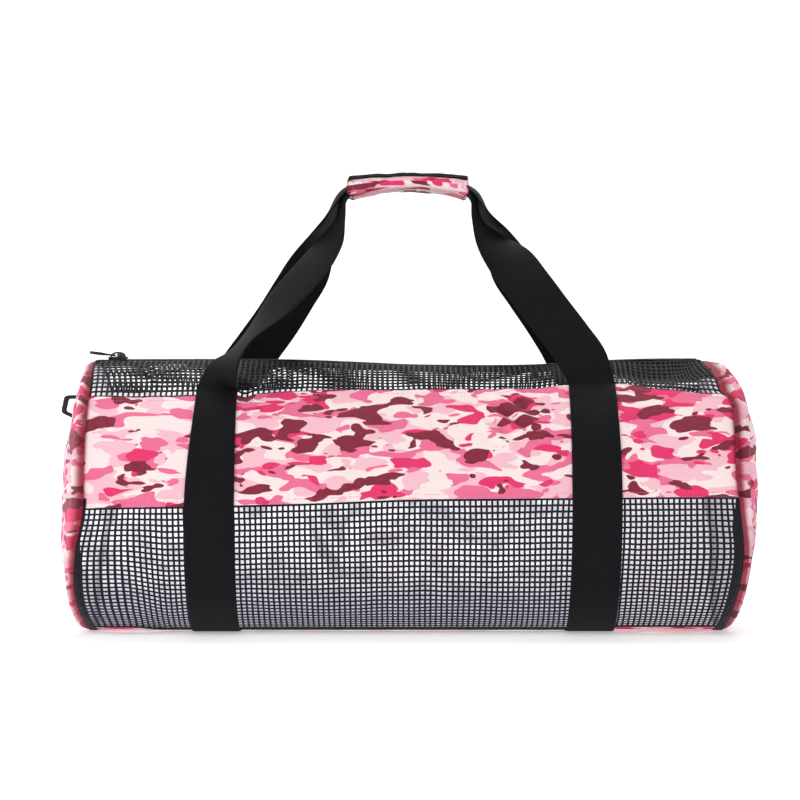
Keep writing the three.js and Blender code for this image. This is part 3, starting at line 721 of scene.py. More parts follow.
@dataclass(frozen=True)
class CamouflageCloth(Finish):
    """Printed plain-woven polyester, pale on its wrong side, which emits painted light.

    Attributes:
        seed: Which stretch of the print the panel is cut from.
        fade: How far the print is washed out in patches; a small fade is abrasion, and a large one, as on the left end,
            is painted light.
        thread: The weave's pitch in metres.
    """

    seed: float = 0.0
    fade: float = 0.05
    thread: float = 0.00055

    def right_side(self, tree: Tree, uv: object, printed: object, sunk: object) -> bpy.types.NodeSocket:
        """The printed side's colour: the print, washed out in patches by abrasion and painted light, with a grain and
        painted shade.

        Args:
            tree: The material's tree.
            uv: The cloth's UV.
            printed: The print's colour.
            sunk: How much painted shade falls on a point.

        Returns:
            The colour.
        """
        # Washed out in patches: abrasion, and where fade is large, as on the left end, painted light.
        worn_and_lit = tree.noise(uv, 160.0, 5.0).outputs["Fac"]
        faded = tree.mix(tree.math("MULTIPLY", worn_and_lit, self.fade), printed, srgb(250, 205, 214))
        grain = tree.noise(uv, 1100.0, 2.0).outputs["Fac"]
        grained = tree.mix(tree.step(grain, 0.3, 0.7), tree.mix(0.2, faded, srgb(60, 20, 30)), faded)
        # Painted shade: the grained print darkened towards a deep pink where sunk is high.
        return tree.mix(sunk, grained, tree.darkened(grained, srgb(152, 62, 86)))

    def wrong_side(self, tree: Tree, printed: object) -> bpy.types.NodeSocket:
        """The wrong side's colour: pale, with painted shade in its crumples, near the floor and towards the right end.

        Args:
            tree: The material's tree.
            printed: The print's colour, of which a little shows through.

        Returns:
            The colour.
        """
        place = tree.add("TexCoord").outputs["Object"]
        # Painted shade: the crumples grey the pale side.
        crease = tree.step(tree.noise(place, 26.0, 3.0, Distortion=1.2).outputs["Fac"], 0.3, 0.62)
        lit = tree.mix(crease, srgb(184, 188, 197), srgb(248, 249, 251))
        parts = tree.add("SeparateXYZ", None, Vector=place)
        # Painted shade: greyer near the floor and towards the right end.
        lit = tree.mix(tree.step(parts.outputs[2], -0.005, 0.08), srgb(165, 171, 186), lit)
        lit = tree.mix(tree.step(parts.outputs[0], 0.1, 0.34), lit, srgb(205, 208, 214))
        return tree.mix(0.06, lit, printed)

    def make(self) -> bpy.types.Material:
        """The cloth, with the print, its weave and the pale wrong side, painted to shine: it emits its own pale colour
        as light.
        """
        material, tree, shader = self.start()
        uv = tree.add("UVMap", {"uv_map": "UVMap"}).outputs[0]
        groups = bpy.data.node_groups
        printed = tree.add("Group", {"node_tree": groups["camouflage_print"]}, Vector=uv, Seed=self.seed).outputs[0]
        sunk = tree.add("Attribute", {"attribute_name": "sunk"}).outputs["Fac"]
        inside = tree.step(tree.add("Attribute", {"attribute_name": "inside"}).outputs["Fac"], 0.9, 1.0)
        pale = self.wrong_side(tree, printed)
        # Painted light: the wrong side emits its pale colour, except where sunk holds painted shade.
        painted_glow = tree.math("MULTIPLY", inside, tree.math("SUBTRACT", 1.0, sunk))
        weave = tree.add("Group", {"node_tree": groups["plain_weave"]}, Vector=uv, Pitch=self.thread).outputs[0]
        crumple = tree.noise(uv, 90.0, 4.0).outputs["Fac"]
        self.bump(tree, shader, tree.math("ADD", tree.math("MULTIPLY", weave, 0.12), crumple), 0.0007)
        tree.feed(
            shader,
            Base_Color=tree.mix(inside, self.right_side(tree, uv, printed, sunk), pale),
            Emission_Color=tree.mix(painted_glow, (0.0, 0.0, 0.0, 1.0), pale),
            Emission_Strength=0.6,
            Roughness=tree.math("MULTIPLY_ADD", weave, -0.12, self.roughness),
            Specular_IOR_Level=0.2,
            Sheen_Weight=0.05,
            Subsurface_Weight=0.25,
            Subsurface_Radius=(1.0, 0.8, 0.8),
            Subsurface_Scale=0.004,
        )
        return material


@dataclass(frozen=True)
class CoatedNet(Finish):
    """Net of vinyl-coated yarn, satin, with the yarn's grain under the coating."""

    def make(self) -> bpy.types.Material:
        """The coated net's finish."""
        material, tree, shader = self.start()
        self.mottle(tree, shader, 220.0, 0.3)
        place = tree.add("TexCoord").outputs["Object"]
        grain = tree.noise(place, 900.0, 3.0).outputs["Fac"]
        self.bump(tree, shader, grain, 0.0003)
        tree.feed(shader, Specular_IOR_Level=0.15)
        return material


@dataclass(frozen=True)
class Webbing(Finish):
    """Woven webbing or tape on its own UV, the first direction across it.

    Attributes:
        cord: The width of one warp cord, in metres.
        pick: The length of one pick, in metres.
        depth: The weave's depth, in metres.
    """

    cord: float = 0.0021
    pick: float = 0.0024
    depth: float = 0.0004

    def make(self) -> bpy.types.Material:
        """The webbing's finish: fibre fuzz in its colour, and the weave painted lighter on the cords and darker between
        them.
        """
        material, tree, shader = self.start()
        uv = tree.add("UVMap", {"uv_map": "UVMap"}).outputs[0]
        group = bpy.data.node_groups["webbing_weave"]
        weave = tree.add("Group", {"node_tree": group}, Vector=uv, Cord=self.cord, Pick=self.pick).outputs[0]
        fuzz = tree.noise(uv, 1500.0, 2.0).outputs["Fac"]
        base = srgb(*self.color)
        dark = tuple(c * 0.55 for c in base[:3]) + (1.0,)
        light = tuple(c * 1.35 for c in base[:3]) + (1.0,)
        # Real fibre fuzz, plus painted highlight on the raised cords and painted shade between them.
        fuzz_and_weave_light = tree.math("MULTIPLY_ADD", fuzz, 0.4, tree.math("MULTIPLY", weave, 0.6))
        rough = tree.math("MULTIPLY_ADD", weave, -0.15, self.roughness)
        tree.feed(shader, Base_Color=tree.mix(fuzz_and_weave_light, dark, light), Roughness=rough)
        self.bump(tree, shader, tree.math("MULTIPLY_ADD", fuzz, 0.15, weave), self.depth)
        tree.feed(shader, Sheen_Weight=0.015, Specular_IOR_Level=0.1)
        return material


@dataclass(frozen=True)
class Hard(Finish):
    """Moulded plastic or enamelled metal, with rubbed edges that also carry a painted glint, and a fine grain.

    Attributes:
        metallic: 1 for bare metal, 0 for plastic or enamel.
        worn_and_lit: The lighter colour of the rubbed edges, partly a painted glint, as 0 to 255 parts.
        wear_and_light: How much of the sharp edges is lightened, by rubbing and a painted glint.
    """

    metallic: float = 0.0
    worn_and_lit: tuple[int, int, int] = (90, 90, 94)
    wear_and_light: float = 0.4

    def make(self) -> bpy.types.Material:
        """The hard piece's finish."""
        material, tree, shader = self.start()
        noise = self.mottle(tree, shader, 160.0, 0.2)
        place = tree.add("TexCoord").outputs["Object"]
        rub = tree.noise(place, 420.0, 5.0).outputs["Fac"]
        edge = tree.add("NewGeometry").outputs["Pointiness"]
        # Lighter sharp edges: rubbing, and a painted glint.
        mask = tree.math("MULTIPLY", tree.step(edge, 0.52, 0.62), tree.step(rub, 0.6 - self.wear_and_light / 2, 0.75))
        base = tree.mix(noise, srgb(*self.color), srgb(*(min(255, int(c * 1.3) + 4) for c in self.color)))
        tree.feed(shader, Base_Color=tree.mix(mask, base, srgb(*self.worn_and_lit)))
        self.bump(tree, shader, tree.noise(place, 1400.0, 2.0).outputs["Fac"], 0.0001)
        tree.feed(shader, Metallic=self.metallic, Specular_IOR_Level=0.3)
        return material


@dataclass(frozen=True)
class Thread(Finish):
    """Twisted sewing thread."""

    def make(self) -> bpy.types.Material:
        """The thread's finish."""
        material, tree, shader = self.start()
        self.mottle(tree, shader, 700.0, 0.35)
        tree.feed(shader, Specular_IOR_Level=0.12)
        return material


@dataclass(frozen=True)
class Finishes:
    """Every finish on the bag, made once."""

    net: Finish = CoatedNet("coated_net", (18, 19, 25), 0.5)
    webbing: Finish = Webbing("black_webbing", (13, 12, 16), 0.72)
    tape: Finish = Webbing("black_tape", (20, 20, 23), 0.75, cord=0.0011, pick=0.0016, depth=0.00025)
    folded: Finish = Webbing("folded_net", (26, 26, 31), 0.6, cord=0.0026, pick=0.0056, depth=0.0011)
    hook: Finish = Webbing("hook_tape", (19, 16, 19), 0.85, cord=0.0012, pick=0.0012, depth=0.0006)
    coil: Finish = Hard("zip_coil", (19, 19, 21), 0.38, wear_and_light=0.2)
    enamel: Finish = Hard("enamelled_metal", (17, 17, 19), 0.42, metallic=0.1, worn_and_lit=(110, 110, 112), wear_and_light=0.5)
    plastic: Finish = Hard("moulded_plastic", (22, 22, 25), 0.42)
    pink_thread: Finish = Thread("pink_thread", (214, 96, 138), 0.75)
    black_thread: Finish = Thread("black_thread", (13, 13, 15), 0.6)


# The barrel


@dataclass(frozen=True)
class Fold:
    """A fold, hollow or row of wrinkles in the skin, as a bell round a place.

    Attributes:
        x: Its middle, along the bag.
        length: Its spread along the bag.
        angle: Its middle round the barrel, in degrees above the level line.
        width: Its spread round the barrel, in degrees.
        depth: How far it raises the skin.
        wave: The distance between wrinkles, or 0 for one plain fold.
        slant: How far the wrinkles lean.
        face: Which face it is on.
    """

    x: float
    length: float
    angle: float
    width: float
    depth: float
    wave: float = 0.0
    slant: float = 0.0
    face: Face = Face.FRONT

    def height(self, x: Array, angle: Array, round_way: Array) -> Array:
        """Its height: depth times two bells, times a cosine across the wrinkles if it has any.

        Args:
            x: The place along the bag.
            angle: The place round the barrel, in degrees.
            round_way: That place as a distance.

        Returns:
            The height.
        """
        bell = self.depth * hump(x, self.x, self.length) * hump(angle, self.angle, self.width)
        if not self.wave:
            return bell
        return bell * np.cos((x - self.x + self.slant * round_way) * 2 * math.pi / self.wave)


FOLDS = (
    Fold(-128, 52, 67, 9, 1.5, wave=31, slant=0.7),
    Fold(-150, 26, 69, 10, -7.0),
    Fold(-268, 10, 62, 12, 1.1, wave=15, slant=0.5),
    Fold(262, 46, 69, 11, -14.0),
    Fold(104, 26, 38, 13, 4.2, wave=27, slant=1.0),
    Fold(-170, 7, 49, 7, -5.0),
    Fold(232, 16, 20, 16, 1.2, wave=34, slant=-0.6),
    Fold(-60, 60, 20, 14, 1.2, wave=70, slant=0.8),
    Fold(250, 60, 68, 11, -6.0, face=Face.REAR),
    Fold(40, 80, 30, 20, 2.0, wave=60, slant=0.9, face=Face.REAR),
)


SEAM_REACH = {
    End.LEFT: (1.02, 1.04, 1.03, 1.002, 1, 1, 1, 1, 1, 1.002, 1.012),
    End.RIGHT: (1, 1.02, 1.03, 1.015, 1.003, 1.004, 1.003, 0.99, 0.975, 0.968, 0.94),
}


@dataclass
class Barrel:
    """The barrel's skin, as the solids have it, with the folds that the solids leave out.

    Attributes:
        length: Between the end seams at mid height.
        height: Floor to the crown.
        radius: The round section's radius.
        floor_lift: The cloth's underside above the floor.
        seam_gap: Between two panels.
        bottom_seam: The front's lower seam, in degrees above the level line through the section's middle.
        bottom_rise: How much higher that seam runs at the left and right ends, in degrees.
        zip_half: From the crown's middle line to the zip tape's outer edge.
        groove: How deep the cloth sinks into the end seams.
        bend: How far from an end its seam's bends reach.
        straps: The middle lines of the straps, from the bag's middle.
        crown: How far the crown drops along the bag: places from -1 to 1, and drops as shares of the height.
        seam_heights: The shares of the height at which the end seams' reach is given.
        seam_reach: For each end, how far out its seam runs there, as a share of half the length.
        band_keys: The places along the bag, from -1 to 1, at which the band's edges are given.
        band_foot: The band's lower edge, in degrees above the level line.
        band_top: Its upper edge.
        band_drop: How far the front band's hem hangs below that, in degrees.
    """

    length: float = 660.0
    height: float = 287.0
    radius: float = 145.0
    floor_lift: float = 2.3
    seam_gap: float = 0.3
    bottom_seam: float = -77.0
    bottom_rise: tuple[float, float] = (7.0, 8.0)
    zip_half: float = 15.8
    groove: float = 1.4
    bend: float = 60.0
    straps: tuple[float, float] = (-203.0, 190.0)
    crown: tuple = ((-1, -0.42, -0.2, 0.02, 0.38, 0.66, 0.85, 1), (0, 0, 0.008, 0.019, 0.02, 0.002, -0.003, 0))
    seam_heights: tuple = (0, 0.14, 0.3, 0.45, 0.6, 0.76, 0.84, 0.865, 0.885, 0.93, 1)
    seam_reach: dict = field(default_factory=SEAM_REACH.copy)
    band_keys: tuple = (-1, -0.6, -0.3, 0, 0.35, 0.62, 0.8, 1)
    band_foot: tuple = (-3, -2, -1, 0.5, 1, 1.3, 1.5, 1.5)
    band_top: tuple = (51, 51, 53.5, 54, 54.5, 56, 51, 47.5)
    band_drop: tuple = (4.5, 4.0, 2.4, 1.6, 0.2, 0, 0, 0)

    @property
    def middle(self) -> float:
        """The height of the section's middle."""
        return self.height - self.radius

    def relief(self, x: Array, angle: Array) -> Array:
        """How far soft waves and the folds raise the skin, in millimetres.

        They die away at the end seams, the zip and the floor, and the waves at the straps too.

        Args:
            x: The place along the bag.
            angle: The place round the barrel.

        Returns:
            The height off the plain skin.
        """
        high = np.degrees(angle)
        rear = high > 90
        mirrored = np.where(rear, 180 - high, high)
        round_way = self.radius * angle
        waves = 0.9 * Ripple(95, 3, 1.6)(x, round_way) + 0.4 * Ripple(34, 5, 1.5)(x, round_way)
        waves += ease(50, 58, mirrored) * 0.25 * Ripple(30, 11, 1.4)(x, round_way)
        for line in self.straps:
            waves = waves * ease(25, 42, np.abs(x - line))
        for fold in FOLDS:
            waves = waves + fold.height(x, mirrored, round_way) * (rear == (fold.face is Face.REAR))
        ends = ease(0, 26, self.length / 2 * 0.97 - np.abs(x))
        return waves * ends * ease(-66, -48, mirrored) * (1 - ease(80, 86, mirrored))

    def point(self, x: Array, angle: Array, lift: Array | float) -> Array:
        """A point of the skin: a circle of the section's radius plus lift, dropped along the crown.

        y = -r cos(angle) and z = middle + r sin(angle) - drop sin(angle)^2, and z is never under the floor lift.

        Args:
            x: The place along the bag.
            angle: The place round the barrel, up from the level line in front.
            lift: The height off the skin.

        Returns:
            The points, with X, Y and Z last.
        """
        radius = self.radius + lift
        drop = read_curve(*self.crown, 2 * x / self.length) * self.height
        up = np.sin(angle)
        z = self.middle + radius * up - drop * np.maximum(up, 0) ** 2
        return stacked(x, -radius * np.cos(angle), np.maximum(z, self.floor_lift - lift))

    def seam(self, end: End, angle: Array) -> Array:
        """Where an end seam crosses an angle, from the bag's middle."""
        share = np.maximum(0, self.middle + self.radius * np.sin(angle)) / self.height
        side = -1 if end is End.LEFT else 1
        return side * self.length / 2 * read_curve(self.seam_heights, self.seam_reach[end], share)

    def skin(self, share: Array, angle: Array, lift: Array | float, folds: bool = True) -> Array:
        """A point of the skin by its share of the way from the left seam to the right one, with the folds.

        Points near an end follow its seam's bends, and those further in stand in straight columns.

        Args:
            share: The share of the way.
            angle: The place round the barrel.
            lift: The height off the skin.
            folds: Whether the folds, the sunk end seams and their puckers are added.

        Returns:
            The points, with X, Y and Z last.
        """
        half = self.length / 2 - self.seam_gap / 2
        left, right = self.seam(End.LEFT, angle) + self.length / 2, self.seam(End.RIGHT, angle) - self.length / 2
        near_left, near_right = (1 - ease(0, self.bend, off * self.length) for off in (share, 1 - share))
        x = lerp(-half, half, share) + left * near_left + right * near_right
        if not folds:
            return self.point(x, angle, lift)
        off = np.minimum(share, 1 - share) * self.length
        sunk = -self.groove * np.exp(-((off / 2.6) ** 2)) * ease(-78, -60, np.degrees(np.arcsin(np.sin(angle))))
        pucker = 0.4 * np.sin(angle * self.radius / 2.7 + 2 * np.sin(angle * 9)) * np.exp(-off / 7) * ease(1, 5, off)
        return self.point(x, angle, lift + self.relief(x, angle) + sunk + pucker)

    def share_of(self, x: Array | float) -> Array:
        """About which share of the way from seam to seam a distance from the middle is."""
        return 0.5 + np.asarray(x) / self.length

    def edge(self, values: tuple, share: Array) -> Array:
        """The angle of one of the band's edges at a share of the length."""
        return np.radians(read_curve(self.band_keys, values, 2 * np.asarray(share) - 1))

    def foot(self, share: Array) -> Array:
        """The angle of the band's lower edge."""
        return self.edge(self.band_foot, share)

    def top(self, share: Array) -> Array:
        """The angle of the band's upper edge."""
        return self.edge(self.band_top, share)

    def hem(self, share: Array) -> Array:
        """The angle of the front band's upper hem, which hangs a little towards the left."""
        return self.top(share) - self.edge(self.band_drop, share)

    def bottom(self, share: Array) -> Array:
        """The angle of the seam under the front."""
        share = np.asarray(share, float)
        left, right = self.bottom_rise
        rise = left * (1 - ease(0.06, 0.13, share)) + right * ease(0.77, 0.84, share)
        return np.radians(self.bottom_seam + rise)

    def bottom_again(self, share: Array) -> Array:
        """The same seam, counted a whole turn on."""
        return 2 * math.pi + self.bottom(share)

    def zip_edge(self, share: Array) -> Array:
        """The angle of the zip tape's front edge."""
        return np.full_like(np.asarray(share, float), self.crown_angle(-self.zip_half - self.seam_gap / 2))

    def crown_angle(self, y: Array | float) -> Array | float:
        """The angle at a distance behind the crown's middle line, measured round the skin."""
        return math.pi / 2 + y / self.radius


Edge = Callable[[Array], Array]


def behind(edge: Edge) -> Edge:
    """An edge of the front, mirrored to the back."""

    def mirrored(share: Array) -> Array:
        """The mirrored edge's angle at a share of the length."""
        return math.pi - edge(share)

    return mirrored


@dataclass
class Panels:
    """The barrel's net and cloth panels.

    Attributes:
        barrel: The skin that they lie on.
        strand: The width of a net strand.
        columns: The number of upright strands.
        row_pitch: The height of one mesh of the net.
        net_wall: The net's thickness.
        cloth_wall: The cloth's thickness.
        hem: The width of a folded hem.
    """

    barrel: Barrel
    strand: float = 2.2
    columns: int = 118
    row_pitch: float = 6.4
    net_wall: float = 1.4
    cloth_wall: float = 1.3
    hem: float = 9.0

    def net(self, foot: Edge, top: Edge, seed: int) -> Patch:
        """A net between two edges: each strand three lines of points with the middle one raised.

        The strands wander in the sheet by up to about a millimetre, less towards the edges.

        Args:
            foot: The angle of its first edge.
            top: The angle of its second edge.
            seed: What fixes the wander.

        Returns:
            The net.
        """
        barrel = self.barrel
        reach = abs(float(top(np.array(0.5)) - foot(np.array(0.5)))) * barrel.radius
        rows = round((reach - self.strand) / self.row_pitch)

        def lines(count: int, length: float) -> tuple[Array, Array]:
            """The shares of a length at which strands' edges and middles lie, and 1 for an edge."""
            pitch = (length - self.strand) / count
            starts = np.arange(count + 1) * pitch
            places = starts[:, None] + self.strand * np.array((0, 0.5, 1))
            return places.ravel() / length, np.tile([1.0, 0.0, 1.0], count + 1)

        (u, u_edge), (v, v_edge) = lines(self.columns, barrel.length), lines(rows, reach)
        share, t = np.meshgrid(u, v, indexing="ij")
        fade = np.minimum(1, np.minimum(share, 1 - share) * 30) * np.minimum(1, np.minimum(t, 1 - t) * 8)
        x, y = share * barrel.length, t * reach
        slide = 0.8 * Ripple(170, seed)(x, y) + 0.1 * Ripple(17, seed + 1)(x, y)
        climb = 0.8 * Ripple(170, seed + 2)(x, y) + 0.12 * Ripple(19, seed + 3)(x, y)
        share = share + fade * slide / barrel.length
        t = t + fade * climb / reach
        angle = lerp(foot(share), top(share), t)
        both = u_edge[:, None] * v_edge[None]
        dip = 0.45 * both + 0.12 * u_edge[:, None] * (1 - v_edge[None])
        outer = barrel.skin(share, angle, -dip)
        inner = barrel.skin(share, angle, dip - self.net_wall)
        hole = (np.arange(len(u) - 1) % 3 == 2)[:, None] & (np.arange(len(v) - 1) % 3 == 2)[None]
        return shell(outer, inner, np.stack([x, y], -1) * MM, present=~hole)

    def cloth(self, foot: Edge, top: Edge, hems: tuple[bool, bool], size: tuple[int, int]) -> Patch:
        """A cloth panel between two edges, with hems turned under, puckers along them, a sunk stitch line and painted
        shade beside its end seams.

        Args:
            foot: The angle of its first edge.
            top: The angle of its second edge.
            hems: Whether its first and second edges are hemmed.
            size: The number of cells along and across it.

        Returns:
            The panel.
        """
        barrel = self.barrel
        share, t = np.meshgrid(np.linspace(0, 1, size[0] + 1), np.linspace(0, 1, size[1] + 1), indexing="ij")
        low, high = foot(share), top(share)
        reach = np.abs(high - low) * barrel.radius
        gap = barrel.seam_gap / 2 / barrel.radius * np.sign(high - low)
        angle = lerp(low + gap, high - gap, t)
        x, y = share * barrel.length, t * reach
        lift = np.zeros_like(t)
        for hemmed, off in zip(hems, (y, reach - y)):
            pucker = Ripple(9, 21, 0.6)(x, off * 2) * np.exp(-off / 9)
            lift += 0.3 * pucker
            if hemmed:
                lift += 0.5 * (1 - ease(self.hem - 1.5, self.hem + 1.5, off)) - 0.4 * hump(off, 5.0, 1.1)
        outer = barrel.skin(share, angle, lift)
        inner = barrel.skin(share, angle, lift - self.cloth_wall)
        patch = shell(outer, inner, np.stack([x, y], -1) * MM)
        off = np.minimum(share, 1 - share) * barrel.length
        # Painted shade beside the end seams, darkest right at them.
        patch.sunk = np.tile((0.8 * np.exp(-((off / 2.0) ** 2)) + 0.2 * np.exp(-off / 6)).ravel(), 2)
        return patch

    def strip(self, start: Array, finish: Array, wide: tuple[Array, Array], lift: tuple[float, float]) -> Patch:
        """A narrow tape on the skin from one line to another.

        Args:
            start: The share and angle of each point of its first edge, stacked n by 2.
            finish: Those of its second edge.
            wide: The UV in metres, across and along.
            lift: The heights of its outer and inner faces off the skin.

        Returns:
            The tape.
        """
        t = np.linspace(0, 1, 5)[None, :, None]
        place = lerp(start[:, None], finish[:, None], t)
        top, low = (self.barrel.skin(place[..., 0], place[..., 1], height) for height in lift)
        across, along = wide
        uv = stacked(across[None, :], along[:, None])
        return shell(top, low, uv)

    def build(self, finishes: dict[str, bpy.types.Material]) -> None:
        """Makes every panel of the barrel and the tapes along the nets' edges.

        Args:
            finishes: The finishes by name.
        """
        barrel = self.barrel
        nets = [
            ("lower_net", barrel.bottom, barrel.foot, 31, "front_lower_net"),
            ("upper_net_front", barrel.hem, barrel.zip_edge, 41, "front_top_net"),
            ("upper_net_rear", behind(barrel.zip_edge), behind(barrel.top), 51, "back_top_net"),
        ]
        for name, foot, top, seed, node in nets:
            make_piece(name, self.net(foot, top, seed), finishes["net"], [node], sharp=80)
        cloths = [
            ("camouflage_band", barrel.foot, barrel.hem, (True, True), (330, 66), 4.0, "front_band"),
            ("back_cloth", behind(barrel.top), behind(barrel.bottom), (True, False), (300, 130), 27.0, "back_panel"),
            ("base_cloth", behind(barrel.bottom), barrel.bottom_again, (False, False), (260, 24), 53.0, "bottom_panel"),
        ]
        for name, foot, top, hems, size, seed, node in cloths:
            cloth = CamouflageCloth(name + "_print", roughness=0.78, seed=seed).make()
            make_piece(name, self.cloth(foot, top, hems, size), cloth, [node])
        self.bindings(finishes["folded"])

    def bindings(self, folded: bpy.types.Material) -> None:
        """Makes the tapes that bind the lower net's ends and foot, and face the upper nets along the zip.

        The foot's tape folds under the seam, apart from the ends where the base's cloth shows. An end's tape is
        narrow above and broad below. The facing in front is slack, and so wider, near the right end.

        Args:
            folded: The finish of folded net.
        """
        barrel = self.barrel
        share = np.linspace(0, 1, 300)
        foot = barrel.bottom(share)
        width = np.linspace(0, 0.008, 5)
        along = share * barrel.length * MM
        under = 6.0 * ease(0.06, 0.13, share) * (1 - ease(0.77, 0.84, share)) / barrel.radius
        tapes = {
            "net_foot_tape": self.strip(
                np.stack([share, foot - under], 1),
                np.stack([share, foot + 5.5 / barrel.radius], 1),
                (width, along),
                (0.6, 0.02),
            )
        }
        angles = np.linspace(barrel.bottom_seam + 0.2, 1, 120)
        widths = {"left_net_tape": (3.0, 8.5, -14, -30), "right_net_tape": (3.5, 10.0, 2, -12)}
        for name, at, inward in (("left_net_tape", 0.0, 1), ("right_net_tape", 1.0, -1)):
            narrow, broad, high, low = widths[name]
            angle = np.radians(angles)
            edge = np.full_like(angle, at)
            wide = lerp(narrow, broad, 1 - ease(low, high, angles)) / barrel.length
            first, second = np.stack([edge, angle], 1), np.stack([edge + inward * wide, angle], 1)
            if inward > 0:
                first, second = second, first
            tapes[name] = self.strip(second, first, (width, angle * barrel.radius * MM), (0.9, 0.3))
        for name, patch in tapes.items():
            make_piece(name, patch, folded)
        for name, face in (("zip_facing_front", Face.FRONT), ("zip_facing_rear", Face.REAR)):
            edge = barrel.zip_edge(share)
            wander = 1.6 * Ripple(60, 61)(share * barrel.length, share * 0)
            slack = 34 * ease(0.8, 0.86, share) if face is Face.FRONT else 0
            low = edge - (12 + 11 * ease(0.19, 0.24, share) + wander + slack) / barrel.radius
            if face is Face.REAR:
                edge, low = math.pi - low, math.pi - edge
            patch = self.strip(np.stack([share, low], 1), np.stack([share, edge], 1), (width * 3, along), (-1.5, -2.1))
            make_piece(name, patch, folded)


@dataclass(frozen=True)
class EndPrintAndShade:
    """How an end panel's print lies, how far it is washed out, and how much painted shade it carries.

    Attributes:
        seed: Which stretch of the print it is cut from.
        fade: How far it is washed out: on the left end this is painted light, on the right a little abrasion.
        painted_lower_shade: How much painted shade deepens it towards the seam, on the lower half.
        seam: How wide the shade in the seam is, as a share of the way from the middle.
    """

    seed: float
    fade: float
    painted_lower_shade: float
    seam: float


END_FORMS = {End.LEFT: (-1, 33.0, 1.8, 4.0), End.RIGHT: (1, 32.0, 5.5, 1.6)}
END_GATHERS = {
    End.RIGHT: (
        (48, 6, -0.09), (64, 5, -0.13), (79, 5, -0.1), (100, 7, -0.08),
        (56, 1.8, -0.08), (71, 1.6, -0.09), (86, 2, -0.07), (122, 6, -0.04), (20, 5, -0.03), (-30, 7, -0.03),
    ),
    End.LEFT: ((66, 7, -0.06), (-38, 8, -0.05), (40, 5, -0.03), (100, 6, -0.04), (128, 5, -0.03), (5, 6, -0.025)),
}


